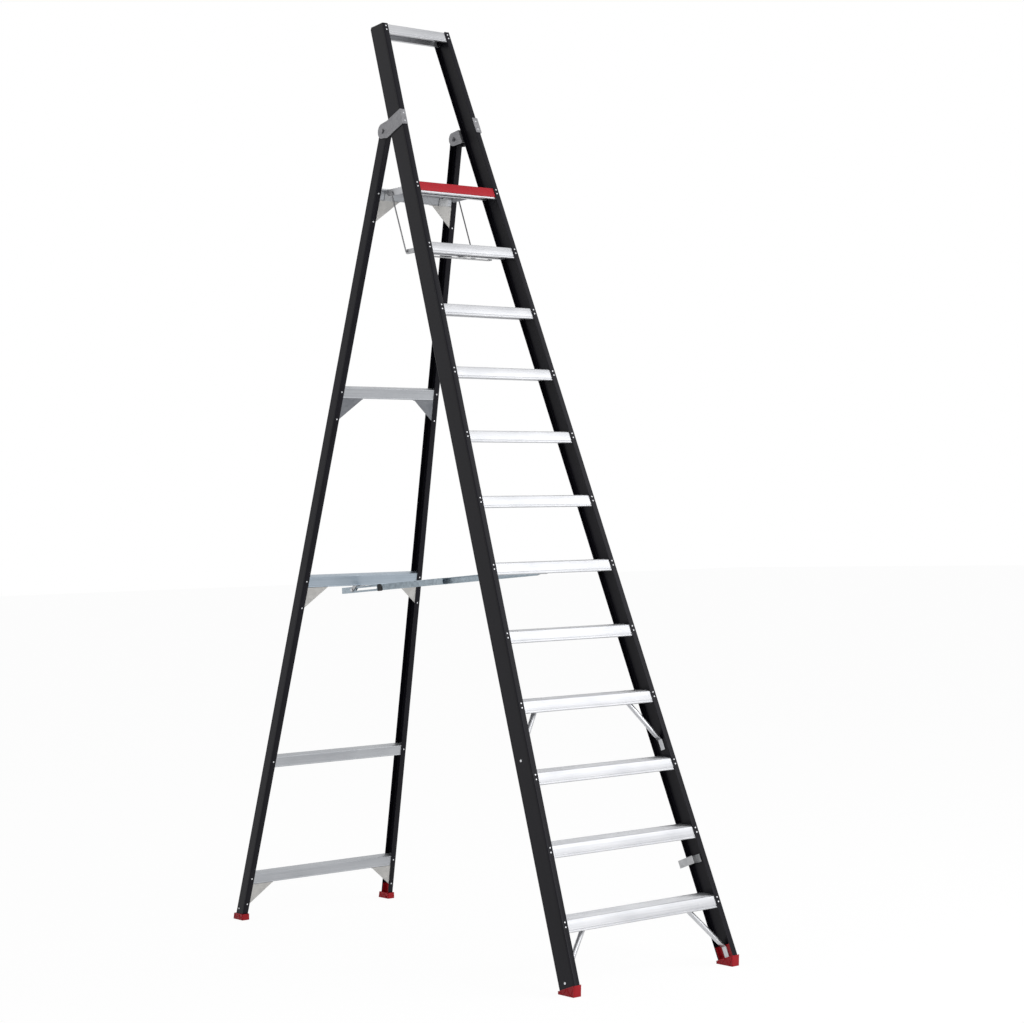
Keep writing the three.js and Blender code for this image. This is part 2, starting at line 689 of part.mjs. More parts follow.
/** Storage catch: a bent strip from the inside of the channel out past its rear flange. */
function storageCatch(side) {
  const web = -STILE_WALL - GAP;
  const past = -FRONT_STILE_REAR_FLANGE - CATCH_PLAY;
  const end = FRONT_STILE_DEPTH + CATCH_REACH;
  const strip = [
    [web, CATCH_FRONT],
    [web, CATCH_JOG],
    [past, CATCH_JOG],
    [past, end],
    [past - CATCH_SHEET, end],
    [past - CATCH_SHEET, CATCH_JOG - CATCH_SHEET],
    [web - CATCH_SHEET, CATCH_JOG - CATCH_SHEET],
    [web - CATCH_SHEET, CATCH_FRONT],
  ];
  return leanFront(prismUp(sided(strip, side), CATCH_BOTTOM, CATCH_TOP), side);
}

/** Clevis behind a tread for the front end of the stay. */
function stayFrontClevis() {
  const face = TREAD_REAR + GAP;
  const s = STAY_FRONT_UP;
  const ear = [
    [face, s - CLEVIS_EAR_ROOT],
    ...arc(STAY_FRONT_SETBACK, s, STAY_END_RADIUS, -Math.PI / 2, Math.PI / 2, 8),
    [face, s + CLEVIS_EAR_ROOT],
  ];
  const [left, right] = FRONT_EARS;
  const plate = box(
    left[0] - CLEVIS_WING, right[1] + CLEVIS_WING, face, face + BRACKET_PLATE,
    s - CLEVIS_EAR_ROOT, s + CLEVIS_EAR_ROOT + CLEVIS_TAB);
  const bore = barAcross(STAY_PIN_RADIUS + GAP, left[0] - 1, right[1] + 1, STAY_FRONT_SETBACK, s);
  return cut(join(plate, prismAcross(ear, ...left), prismAcross(ear, ...right)), bore);
}

for (const { side, name } of SIDES) {
  addPart(frontFrame, `front_stile_${name}`, frontStile(side), FINISH.darkCoat);
  addPart(frontFrame, `front_foot_${name}`, frontFoot(side), FINISH.redPlastic);
  addPart(frontFrame, `hinge_plate_${name}`, hingePlate(side), FINISH.galvanised);
  addPart(frontFrame, `hinge_ear_${name}`, hingeEar(side), FINISH.galvanised);
  addPart(frontFrame, `hinge_bolt_${name}`, hingeBolt(side), FINISH.steel);
  for (const kind of BRACES) {
    addPart(frontFrame, `brace_${kind.name}_${name}`, brace(kind, side), FINISH.aluminium);
  }
}
addPart(frontFrame, 'storage_catch', storageCatch(1), FINISH.galvanised);
addPart(frontFrame, 'stay_front_clevis', stayFrontClevis(), FINISH.galvanised);

for (let number = 1; number <= TREAD_COUNT; number += 1) {
  const outline = treadOutline(TREAD);
  const shape = number === TREAD_COUNT
    ? treadWithLugs(outline, number)
    : betweenStiles(outline, treadAt(number));
  const name = `tread_${String(number).padStart(2, '0')}`;
  addPart(frontFrame, name, shape, FINISH.aluminium).position.z = treadAt(number);
}

const platformTread = treadWithLugs(treadOutline(PLATFORM_TREAD), TREAD_COUNT + 1);
addPart(frontFrame, 'platform_tread', platformTread, FINISH.aluminium).position.z = PLATFORM;
addPart(frontFrame, 'platform_nosing', nosing(), FINISH.redPlastic).position.z = PLATFORM;

const handrail = betweenStiles(treadOutline(HANDRAIL_BAR), HANDRAIL);
addPart(frontFrame, 'handrail', handrail, FINISH.aluminium).position.z = HANDRAIL;

// ---------------------------------------------------------------- rear frame

/** Rear stile: a channel cut level at the foot and rounded at the top. */
function rearStile(side) {
  const section = sided(
    channelOutline(REAR_STILE_DEPTH, REAR_STILE_FLANGE, REAR_STILE_FLANGE), side);
  const blank = leanRear(prismUp(section, 0, REAR_HINGE_UP * 1.05), side);
  const footAt = (d) => (REAR_FOOT_HEIGHT + GAP - d * sinR) / cosR;
  const r = REAR_STILE_DEPTH / 2;
  const silhouette = [
    [0, footAt(0)],
    [REAR_STILE_DEPTH, footAt(REAR_STILE_DEPTH)],
    ...arc(r, REAR_HINGE_UP, r, 0, Math.PI, 12),
  ];
  const body = common(blank, prismAcross(silhouette, -2 * BASE_HALF_WIDTH, 2 * BASE_HALF_WIDTH));
  const x = side * rearHalf(REAR_HINGE_UP);
  const bore = barAcross(
    HINGE_BOLT_RADIUS + 2 * GAP, x - REAR_STILE_FLANGE, x + REAR_STILE_FLANGE,
    HINGE_IN_REAR_STILE, REAR_HINGE_UP, ROUND);
  return cut(body, bore);
}

/** Rear bar: a channel with its web behind the front flanges and its flanges to the rear. */
function rearBar(s) {
  const end = BAR_FRONT + BAR_DEPTH;
  const half = rearHalf(s + BAR_RISE) - STILE_WALL - 2 * GAP;
  return prismAcross([
    [BAR_FRONT, -BAR_DROP],
    [BAR_FRONT, BAR_RISE],
    [end, BAR_RISE],
    [end, BAR_RISE - BAR_WALL],
    [BAR_FRONT + BAR_WALL, BAR_RISE - BAR_WALL],
    [BAR_FRONT + BAR_WALL, -BAR_DROP + BAR_WALL],
    [end, -BAR_DROP + BAR_WALL],
    [end, -BAR_DROP],
  ], -half, half);
}

/** Gusset: a three-cornered plate under the end of a bar, with a tab under the bar's flange. */
function gusset(s, side) {
  const top = s - BAR_DROP - GAP;
  const foot = top - GUSSET_DROP;
  const outer = (at) => side * (rearHalf(at) - GUSSET_INSET);
  const reach = side * (rearHalf(top) - GUSSET_REACH);
  const plate = prismBack([
    [outer(top), top],
    [reach, top],
    [side * (rearHalf(foot) - GUSSET_FOOT), foot],
    [outer(foot), foot],
  ], BAR_FRONT, BAR_FRONT + GUSSET_PLATE);
  const [x0, x1] = [outer(top), reach].sort((a, b) => a - b);
  const tab = box(x0, x1, BAR_FRONT, BAR_FRONT + GUSSET_TAB, top - GUSSET_PLATE, top);
  return join(plate, tab);
}

/** Rear foot: a block under the level end of the stile and a lining inside the channel. */
function rearFoot(side) {
  const local = (y, z) => [y * cosR + z * sinR, z * cosR - y * sinR];
  const width = rearHalf(REAR_FOOT_HEIGHT);
  const block = prismAcross([
    local(-REAR_FOOT_FRONT, 0),
    local(REAR_FOOT_REAR, 0),
    local(REAR_FOOT_REAR - REAR_FOOT_RAKE, REAR_FOOT_HEIGHT),
    local(-REAR_FOOT_FRONT, REAR_FOOT_HEIGHT),
  ], ...span(side, width - REAR_STILE_FLANGE - SHOE_LIP, width + SHOE_SIDE));
  const lining = liningOutline(REAR_STILE_DEPTH, REAR_STILE_FLANGE - SHOE_LIP);
  return join(
    block, leanRear(prismUp(sided(lining, side), LINER_ROOT + SHOE_LIP, REAR_LINER_TOP), side));
}

/** Seat for the rear lip of the deck: a plate on the top bar with a shelf and an upturned toe. */
function deckSeat(side) {
  const face = BAR_FRONT - GAP;
  const behind = face - SEAT_SHEET;
  const lipY = DECK_PIVOT_Y + DECK_REAR - REAR_Y;
  const lipZ = DECK_PIVOT_Z + LINK_PIVOT_DROP - DECK_LIP - GAP;
  const shelf = lipZ * cosR - lipY * sinR;
  const low = TOP_BAR - BAR_DROP;
  const high = TOP_BAR + BAR_RISE - SEAT_SHEET;
  return prismAcross([
    [face, low],
    [face, high],
    [behind, high],
    [behind, shelf],
    [SEAT_SHEET - SEAT_REACH, shelf],
    [SEAT_SHEET - SEAT_REACH, shelf + SEAT_TOE],
    [-SEAT_REACH, shelf + SEAT_TOE],
    [-SEAT_REACH, shelf - SEAT_SHEET],
    [behind, shelf - SEAT_SHEET],
    [behind, low],
  ], ...span(side, SEAT_INNER_X, SEAT_OUTER_X));
}

/** Clevis under the middle bar for the rear half of the stay. */
function stayRearClevis() {
  const under = barAt(REAR_BARS[STAY_BAR]) - BAR_DROP - GAP;
  const end = BAR_FRONT + BAR_DEPTH;
  const ear = [
    [CLEVIS_REAR_FRONT + CLEVIS_WING, under],
    ...arc(STAY_REAR_SETBACK, STAY_REAR_UP, STAY_END_RADIUS, -Math.PI * 0.8, Math.PI * 0.2, 10),
    [end, under],
  ];
  const [left, right] = REAR_EARS;
  const plate = box(
    left[0] - CLEVIS_WING, right[1] + CLEVIS_WING, CLEVIS_REAR_FRONT, end,
    under - BRACKET_PLATE, under);
  const bore = barAcross(
    STAY_PIN_RADIUS + GAP, left[0] - 1, right[1] + 1, STAY_REAR_SETBACK, STAY_REAR_UP);
  return cut(join(plate, prismAcross(ear, ...left), prismAcross(ear, ...right)), bore);
}

for (const { side, name } of SIDES) {
  addPart(rearFrame, `rear_stile_${name}`, rearStile(side), FINISH.darkCoat);
  addPart(rearFrame, `rear_foot_${name}`, rearFoot(side), FINISH.redPlastic);
  addPart(rearFrame, `deck_seat_${name}`, deckSeat(side), FINISH.galvanised);
}
addPart(rearFrame, 'stay_rear_clevis', stayRearClevis(), FINISH.galvanised);

REAR_BARS.forEach((bar, index) => {
  const s = barAt(bar);
  addPart(rearFrame, `rear_bar_${index + 1}`, rearBar(s), FINISH.barMetal).position.z = s;
  if (bar.gussets) {
    for (const { side, name } of SIDES) {
      addPart(rearFrame, `gusset_${index + 1}_${name}`, gusset(s, side), FINISH.galvanised);
    }
  }
});

// ---------------------------------------------------------------- deck linkage

/** Outline of the end of a side plate round a linkage pivot, from its top edge to its foot. */
const pivotHead = () => [
  [DECK_FRONT, LINK_HEAD_HEIGHT],
  ...arc(0, 0, LINK_EYE_RADIUS, Math.PI / 4, Math.PI * 1.4, 10),
];

const pivotBore = () =>
  barAcross(LINK_PIN_RADIUS + GAP, -LINK_PIN_HALF, LINK_PIN_HALF, 0, 0);

const rodHole = () =>
  barAcross(ROD_HOLE_RADIUS, -LINK_PIN_HALF, LINK_PIN_HALF, LINK_ARM, 0);

/** Deck: a ribbed sheet with a folded rear lip and two side flanges that carry its pivots. */
function deck() {
  const top = LINK_PIVOT_DROP;
  const under = top - DECK_SHEET;
  const sheet = prismAcross([
    [DECK_FRONT, under],
    [DECK_REAR - DECK_SHEET, under],
    [DECK_REAR - DECK_SHEET, top - DECK_LIP],
    [DECK_REAR, top - DECK_LIP],
    [DECK_REAR, top],
    ...ribs(DECK_FRONT + TREAD_LIP, DECK_REAR - TREAD_LIP, DECK_RIBS, () => top).reverse(),
    [DECK_FRONT, top],
  ], -DECK_HALF_WIDTH, DECK_HALF_WIDTH);
  const flange = [
    [DECK_FRONT * 2, top - DECK_FLANGE],
    [DECK_REAR - DECK_FRONT, top - DECK_FLANGE],
    [DECK_REAR, top - DECK_LIP],
    [DECK_REAR, top],
    [DECK_FRONT, top],
    ...pivotHead(),
  ];
  const flanges = SIDES.map(({ side }) =>
    prismAcross(flange, ...span(side, DECK_HALF_WIDTH - DECK_SHEET, DECK_HALF_WIDTH)));
  return cut(join(sheet, ...flanges), pivotBore(), rodHole());
}

/** Lift rod: a round rod between deck and lever, both ends bent inwards. */
function liftRod(side) {
  const high = new THREE.Vector3(side * ROD_X, 0, 0);
  const low = new THREE.Vector3(side * ROD_X, -TREAD_PITCH * sinF, -TREAD_PITCH * cosF);
  const shapes = [barBetween(low, high, ROD_RADIUS, ROUND / 2)];
  for (const end of [low, high]) {
    const inward = span(side, ROD_X - ROD_HOOK, ROD_X);
    shapes.push(barAcross(ROD_RADIUS, ...inward, end.y, end.z, ROUND / 2));
    shapes.push(new THREE.SphereGeometry(ROD_RADIUS, 12, 8).translate(...end.toArray()));
  }
  return join(...shapes);
}

/** Release lever: two arms, a strip joining them under the tread, and a finger tab. */
function releaseLever() {
  const low = -LEVER_STRIP_DROP;
  const half = LEVER_LOBE_HALF;
  const arm = [
    [-half, low],
    [half, low],
    [half + LEVER_ARM_HALF, -LEVER_ARM_HALF],
    ...arc(LINK_ARM, 0, LEVER_ARM_HALF, -Math.PI / 2, Math.PI / 2, 8),
    [DECK_FRONT, LEVER_ARM_HALF],
    ...pivotHead(),
  ];
  const outer = DECK_HALF_WIDTH;
  const arms = SIDES.map(({ side }) => prismAcross(arm, ...span(side, outer - LEVER_SHEET, outer)));
  const strip = box(-outer, outer, -half, half, low, low + LEVER_SHEET);
  const tab = box(
    -LEVER_TAB_HALF, LEVER_TAB_HALF, -LEVER_TAB_REACH, half, low, low + LEVER_SHEET);
  return cut(join(strip, tab, ...arms), pivotBore(), rodHole());
}

addPart(ladder, 'platform_deck', deck(), FINISH.aluminium)
  .position.set(0, DECK_PIVOT_Y, DECK_PIVOT_Z);
addPart(ladder, 'release_lever', releaseLever(), FINISH.galvanised)
  .position.set(0, LEVER_PIVOT_Y, LEVER_PIVOT_Z);
for (const { side, name } of SIDES) {
  addPart(ladder, `lift_rod_${name}`, liftRod(side), FINISH.steel)
    .position.set(0, DECK_PIVOT_Y + LINK_ARM, DECK_PIVOT_Z);
}

const linkPin = () => barAcross(LINK_PIN_RADIUS, -LINK_PIN_HALF, LINK_PIN_HALF, 0, 0);
addPart(ladder, 'deck_hinge_pin', linkPin(), FINISH.steel)
  .position.set(0, DECK_PIVOT_Y, DECK_PIVOT_Z);
addPart(ladder, 'lever_pin', linkPin(), FINISH.steel)
  .position.set(0, LEVER_PIVOT_Y, LEVER_PIVOT_Z);

// ---------------------------------------------------------------- stay

/** One half of the stay along +Y, open towards +x or -x, with a pivot hole at its origin. */
function stayLink({ side, from, to, tongue }) {
  const half = STAY_HEIGHT / 2;
  const inner = STAY_SPLIT;
  const outer = STAY_SPLIT + STAY_WIDTH;
  const web = prismAcross(tongue
    ? [
      [tongue, -half],
      [to, -half],
      [to, half],
      [tongue, half],
      ...arc(0, 0, STAY_END_RADIUS, Math.PI / 2, Math.PI * 1.5, 8),
    ]
    : [[from, -half], [to, -half], [to, half], [from, half]],
  ...span(side, outer - STAY_SHEET, outer));
  const start = tongue ?? from;
  const [x0, x1] = span(side, inner, outer);
  const flanges = [
    box(x0, x1, start, to, half - STAY_SHEET, half),
    box(x0, x1, start, to, -half, STAY_SHEET - half),
  ];
  const bore = barAcross(STAY_PIN_RADIUS + GAP, -2 * outer, 2 * outer, 0, 0);
  return cut(join(web, ...flanges), bore);
}

/** Front half: hangs on the front clevis and carries the stud of the elbow. */
function stayFrontLink() {
  const body = stayLink({
    side: 1, to: STAY_ELBOW + STAY_FRONT_LAP, tongue: STAY_TONGUE,
  });
  const stud = barAcross(
    STAY_STUD_RADIUS, -STAY_SPLIT / 2, STAY_SPLIT + STAY_WIDTH - STAY_SHEET / 2, STAY_ELBOW, 0);
  return join(body, stud);
}

/** Rear half: runs through the rear clevis, with a long slot in its web ahead of the pivot. */
function stayRearLink() {
  const body = stayLink({
    side: -1, from: STAY_ELBOW - STAY_SPAN - STAY_REAR_LAP, to: STAY_TAIL,
  });
  const slot = prismAcross([
    ...arc(-STAY_SLOT_FROM, 0, STAY_SLOT_HALF, -Math.PI / 2, Math.PI / 2, 6),
    ...arc(-STAY_SLOT_TO, 0, STAY_SLOT_HALF, Math.PI / 2, Math.PI * 1.5, 6),
  ], -2 * STAY_WIDTH, 2 * STAY_WIDTH);
  return cut(body, slot);
}

/** Pin through a clevis, with a flat head at each end. */
function clevisPin([left, right]) {
  const ends = [left[0] - GAP, right[1] + GAP];
  return join(
    barAcross(STAY_PIN_RADIUS, ends[0] - 1, ends[1] + 1, 0, 0),
    barAcross(STAY_PIN_RADIUS + STAY_PIN_HEAD, ends[0] - STAY_PIN_HEAD, ends[0], 0, 0),
    barAcross(STAY_PIN_RADIUS + STAY_PIN_HEAD, ends[1], ends[1] + STAY_PIN_HEAD, 0, 0));
}

const stayParts = [
  ['stay_front_link', stayFrontLink(), FINISH.galvanised, STAY_FRONT_PIVOT],
  ['stay_rear_link', stayRearLink(), FINISH.galvanised, STAY_REAR_PIVOT],
  ['stay_pin_front', clevisPin(FRONT_EARS), FINISH.steel, STAY_FRONT_PIVOT],
  ['stay_pin_rear', clevisPin(REAR_EARS), FINISH.steel, STAY_REAR_PIVOT],
];
for (const [name, geometry, finish, [y, z]] of stayParts) {
  const part = addPart(ladder, name, geometry, finish);
  part.position.set(0, y, z);
  part.rotation.x = -STAY_SLOPE;
}

export default ladder;
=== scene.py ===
"""A tall platform step ladder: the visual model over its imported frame."""

import json
import logging
import math
from dataclasses import dataclass, field
from enum import Enum
from typing import Callable, Sequence

import bmesh
import bpy
import numpy as np
from mathutils import Matrix, Vector


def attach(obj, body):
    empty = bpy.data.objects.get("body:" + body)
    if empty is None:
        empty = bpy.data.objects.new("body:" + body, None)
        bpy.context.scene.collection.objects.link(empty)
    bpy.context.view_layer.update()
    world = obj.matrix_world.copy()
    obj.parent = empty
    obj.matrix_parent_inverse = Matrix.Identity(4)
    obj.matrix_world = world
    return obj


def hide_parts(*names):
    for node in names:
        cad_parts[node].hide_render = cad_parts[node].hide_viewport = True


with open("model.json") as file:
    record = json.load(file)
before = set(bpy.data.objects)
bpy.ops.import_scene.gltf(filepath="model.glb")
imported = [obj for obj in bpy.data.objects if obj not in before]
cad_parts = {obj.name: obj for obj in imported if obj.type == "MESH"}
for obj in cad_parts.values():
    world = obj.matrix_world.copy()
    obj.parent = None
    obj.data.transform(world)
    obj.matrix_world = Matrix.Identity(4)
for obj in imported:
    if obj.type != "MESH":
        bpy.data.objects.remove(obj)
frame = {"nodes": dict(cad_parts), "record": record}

logging.basicConfig(level=logging.INFO, format="%(name)s: %(message)s")
LOG = logging.getLogger("ladder")
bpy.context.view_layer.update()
MM = 0.001
# From the outside of a web to the end of a bar between the stiles, in mm.
END_INSET = 3.2
Array = np.ndarray
Rings = tuple[Array, list[list[int]]]


class Body(Enum):
    """Bodies of the frame that carry pieces made here."""

    FRONT = "front_frame"
    REAR = "rear_frame"
    STAY_REAR = "stay_rear"


class Slot(Enum):
    """Material slots of the record for pieces made here."""

    DARK = "dark_coat"
    ALUMINIUM = "aluminium"
    BAR = "bar_metal"
    STEEL = "steel"
    RED = "red_plastic"


class Side(Enum):
    """The two sides of the ladder, as the sign of x."""

    LEFT = -1
    RIGHT = 1

    @property
    def word(self) -> str:
        """The side's name in piece names."""
        return self.name.lower()


# ------------------------------------------------------------------ shader nodes


class Value:
    """A number socket of a shader node on which arithmetic adds Math nodes."""

    def __init__(self, graph: "Graph", socket: bpy.types.NodeSocket) -> None:
        """Wraps one output socket of a graph."""
        self.graph = graph
        self.socket = socket

    def _math(self, operation: str, first: object, second: object) -> "Value":
        """Adds a Math node on two sockets or numbers.

        Args:
            operation: the Math node's operation.
            first: its first input, a Value or a number.
            second: its second input, a Value or a number.

        Returns:
            The node's result.
        """
        node = self.graph.node(
            "ShaderNodeMath", {"operation": operation}, {0: first, 1: second}
        )
        return Value(self.graph, node.outputs[0])

    def __add__(self, other: object) -> "Value":
        """Sum."""
        return self._math("ADD", self, other)

    def __radd__(self, other: object) -> "Value":
        """Reflected sum."""
        return self._math("ADD", other, self)

    def __sub__(self, other: object) -> "Value":
        """Difference."""
        return self._math("SUBTRACT", self, other)

    def __rsub__(self, other: object) -> "Value":
        """Reflected difference."""
        return self._math("SUBTRACT", other, self)

    def __mul__(self, other: object) -> "Value":
        """Product."""
        return self._math("MULTIPLY", self, other)

    def __rmul__(self, other: object) -> "Value":
        """Reflected product."""
        return self._math("MULTIPLY", other, self)


class Graph:
    """The node tree of one material, with a surface shader and its coordinates."""

    def __init__(self, name: str) -> None:
        """Makes an empty material with a Principled shader.

        Args:
            name: the material's name.
        """
        self.material = bpy.data.materials.new(name)
        self.material.use_nodes = True
        self.tree = self.material.node_tree
        self.tree.nodes.clear()
        self.shader = self.node("ShaderNodeBsdfPrincipled", {}, {})
        self.output = self.node(
            "ShaderNodeOutputMaterial", {}, {"Surface": self.shader.outputs["BSDF"]}
        )

    @classmethod
    def of_tree(cls, tree: bpy.types.NodeTree) -> "Graph":
        """Wraps a node tree, such as the world's, and empties it.

        Args:
            tree: the node tree.

        Returns:
            A graph without a material or shader.
        """
        graph = cls.__new__(cls)
        graph.tree = tree
        tree.nodes.clear()
        return graph

    def node(
        self, kind: str, settings: dict[str, object], inputs: dict[object, object]
    ) -> bpy.types.Node:
        """Adds a node, applies its settings, then fills its sockets.

        Args:
            kind: the node's type name.
            settings: attributes to set, with "stops" for a colour ramp.
            inputs: socket name or number to a value, a socket or a Value.

        Returns:
            The new node.
        """
        made = self.tree.nodes.new(kind)
        for key, value in settings.items():
            if key == "stops":
                elements = made.color_ramp.elements
                for index, (place, colour) in enumerate(value):
                    stop = elements[index] if index < 2 else elements.new(place)
                    stop.position = place
                    stop.color = (*colour, 1.0)
            else:
                setattr(made, key, value)
        for key, value in inputs.items():
            self.feed(made.inputs[key], value)
        return made

    def feed(self, socket: bpy.types.NodeSocket, value: object) -> None:
        """Links a socket or a Value into an input, or sets its number.

        Args:
            socket: the input to fill.
            value: a Value, an output socket, or a plain value.
        """
        if isinstance(value, Value):
            value = value.socket
        if isinstance(value, bpy.types.NodeSocket):
            self.tree.links.new(value, socket)
        else:
            socket.default_value = value

    def place(self, turn: float, stretch: Sequence[float]) -> bpy.types.NodeSocket:
        """Object coordinates turned about X and stretched.

        Args:
            turn: angle about X in radians that stands a leaning frame upright.
            stretch: scale along the three turned axes, per metre.

        Returns:
            A vector socket.
        """
        coords = self.node("ShaderNodeTexCoord", {}, {})
        turned = self.node(
            "ShaderNodeMapping",
            {},
            {"Vector": coords.outputs["Object"], "Rotation": (turn, 0.0, 0.0)},
        )
        scaled = self.node(
            "ShaderNodeMapping",
            {},
            {"Vector": turned.outputs["Vector"], "Scale": tuple(stretch)},
        )
        return scaled.outputs["Vector"]

    def noise(
        self, vector: bpy.types.NodeSocket, scale: float, detail: float, rough: float
    ) -> Value:
        """A noise texture from 0 to 1."""
        made = self.node(
            "ShaderNodeTexNoise",
            {},
            {"Vector": vector, "Scale": scale, "Detail": detail, "Roughness": rough},
        )
        return Value(self, made.outputs["Fac"])

    def band(self, value: Value, low: float, high: float) -> Value:
        """Maps a value from low..high to 0..1, clamped."""
        made = self.node(
            "ShaderNodeMapRange",
            {"clamp": True},
            {"Value": value, "From Min": low, "From Max": high},
        )
        return Value(self, made.outputs["Result"])

    def mix(self, share: object, first: object, second: object) -> bpy.types.NodeSocket:
        """Blends two colours.

        Args:
            share: weight of the second colour, from 0 to 1.
            first: colour at share 0, as three numbers or a socket.
            second: colour at share 1, as three numbers or a socket.

        Returns:
            A colour socket.
        """
        made = self.node("ShaderNodeMix", {"data_type": "RGBA"}, {})
        self.feed(made.inputs[0], share)
        for index, colour in ((6, first), (7, second)):
            is_plain = isinstance(colour, (tuple, list))
            self.feed(made.inputs[index], (*colour, 1.0) if is_plain else colour)
        return made.outputs[2]

    def bump(self, height: Value, distance: float, strength: float) -> None:
        """Feeds a height in units of distance (metres) to the shader's normal."""
        made = self.node(
            "ShaderNodeBump",
            {},
            {"Height": height, "Distance": distance, "Strength": strength},
        )
        self.feed(self.shader.inputs["Normal"], made.outputs["Normal"])

    def seen(self) -> Value:
        """Tells rays that look at a surface from rays that only light it.

        Returns:
            1 for a camera, glossy or transmission ray, and 0 for any other.
        """
        rays = self.node("ShaderNodeLightPath", {}, {})
        return sum(
            (Value(self, rays.outputs[f"Is {kind} Ray"]) for kind in ("Glossy", "Transmission")),
            Value(self, rays.outputs["Is Camera Ray"]),
        )

    def surface(self, **inputs: object) -> None:
        """Fills sockets of the shader.

        Args:
            inputs: socket names, underscores standing for spaces, to values or sockets.
        """
        for key, value in inputs.items():
            name = key.replace("_", " ")
            if isinstance(value, (tuple, list)) and len(value) == 3:
                value = (*value, 1.0)
            self.feed(self.shader.inputs[name], value)


# ------------------------------------------------------------------ finishes

Colour = tuple[float, float, float]


class Finish:
    """A surface finish that builds its own material."""

    def paint(self, graph: Graph) -> None:
        """Fills the graph of the material."""
        raise NotImplementedError

    def build(self, name: str) -> bpy.types.Material:
        """Builds the material.

        Args:
            name: the material's name.

        Returns:
            The material.
        """
        graph = Graph(name)
        self.paint(graph)
        return graph.material


@dataclass(frozen=True)
class CoatedChannel(Finish):
    """Dark coat on a drawn channel: fine drawing lines, faint mottling and rubbed spots."""

    lean: float
    base: Colour = (0.0048, 0.0043, 0.0078)
    lighter: Colour = (0.0085, 0.0079, 0.0130)
    rubbed: Colour = (0.060, 0.060, 0.066)
    roughness: float = 0.34

    def paint(self, graph: Graph) -> None:
        """Paints drawing lines, mottling and rubbed spots.

        Args:
            graph: the material's graph.
        """
        lines = graph.noise(graph.place(self.lean, (420, 420, 2.2)), 1.0, 2.0, 0.6)
        cloud = graph.noise(graph.place(self.lean, (9, 9, 4)), 1.0, 3.0, 0.55)
        grain = graph.noise(graph.place(self.lean, (900, 900, 900)), 1.0, 1.0, 0.5)
        scuff = graph.noise(graph.place(self.lean, (60, 60, 14)), 1.0, 4.0, 0.7)
        worn = graph.band(scuff, 0.70, 0.78) * 0.5
        tone = graph.mix(graph.band(cloud * 0.6 + lines * 0.4, 0.35, 0.65), self.base, self.lighter)
        graph.surface(
            Base_Color=graph.mix(worn, tone, self.rubbed),
            Roughness=self.roughness + (lines - 0.5) * 0.16 + (cloud - 0.5) * 0.10,
            Specular_IOR_Level=0.15,
            Metallic=0.0,
        )
        graph.bump(lines * 0.7 + grain * 0.3, 0.00012, 0.5)


@dataclass(frozen=True)
class DrawnMetal(Finish):
    """Bare drawn aluminium: long bright and dull streaks along one way, and faint handling marks."""

    lean: float = 0.0
    streak: tuple[float, float, float] = (1.6, 380.0, 380.0)
    bright: Colour = (0.66, 0.665, 0.685)
    dull: Colour = (0.50, 0.51, 0.535)
    marked: Colour = (0.52, 0.53, 0.55)
    roughness: float = 0.36
    metallic: float = 0.72

    def paint(self, graph: Graph) -> None:
        """Paints streaks and handling marks.

        Args:
            graph: the material's graph.
        """
        lines = graph.noise(graph.place(self.lean, self.streak), 1.0, 3.0, 0.65)
        cloud = graph.noise(graph.place(self.lean, (7, 16, 16)), 1.0, 2.0, 0.5)
        marks = graph.noise(graph.place(self.lean, (45, 160, 160)), 1.0, 5.0, 0.75)
        handled = graph.band(marks, 0.66, 0.80) * 0.35
        tone = graph.mix(graph.band(lines * 0.65 + cloud * 0.35, 0.36, 0.64), self.dull, self.bright)
        graph.surface(
            Base_Color=graph.mix(handled, tone, self.marked),
            Roughness=self.roughness + (lines - 0.5) * 0.22 + handled * 0.3,
            Metallic=self.metallic,
            Specular_IOR_Level=0.5,
        )
        graph.bump(lines * 0.8 + marks * 0.2, 0.00010, 0.45)


@dataclass(frozen=True)
class Galvanised(Finish):
    """Zinc-coated sheet: pale crystals of slightly different tone and sheen."""

    bright: Colour = (0.56, 0.565, 0.575)
    dull: Colour = (0.40, 0.41, 0.42)
    stained: Colour = (0.42, 0.42, 0.41)
    crystal: float = 90.0
    roughness: float = 0.42
    metallic: float = 0.75

    def paint(self, graph: Graph) -> None:
        """Paints crystals, a cloudy sheen and stains.

        Args:
            graph: the material's graph.
        """
        vector = graph.place(0.0, (1.0, 1.0, 1.0))
        cells = graph.node(
            "ShaderNodeTexVoronoi", {}, {"Vector": vector, "Scale": self.crystal}
        )
        split = graph.node("ShaderNodeSeparateColor", {}, {0: cells.outputs["Color"]})
        shade = Value(graph, split.outputs[0])
        cloud = graph.noise(vector, 22.0, 4.0, 0.6)
        fine = graph.noise(vector, 700.0, 2.0, 0.5)
        tone = graph.mix(graph.band(shade * 0.45 + cloud * 0.55, 0.25, 0.75), self.dull, self.bright)
        stain = graph.band(cloud, 0.62, 0.80) * 0.25
        graph.surface(
            Base_Color=graph.mix(stain, tone, self.stained),
            Roughness=self.roughness + (shade - 0.5) * 0.16 + (cloud - 0.5) * 0.12,
            Metallic=self.metallic,
        )
        graph.bump(fine * 0.5 + shade * 0.5, 0.00008, 0.35)


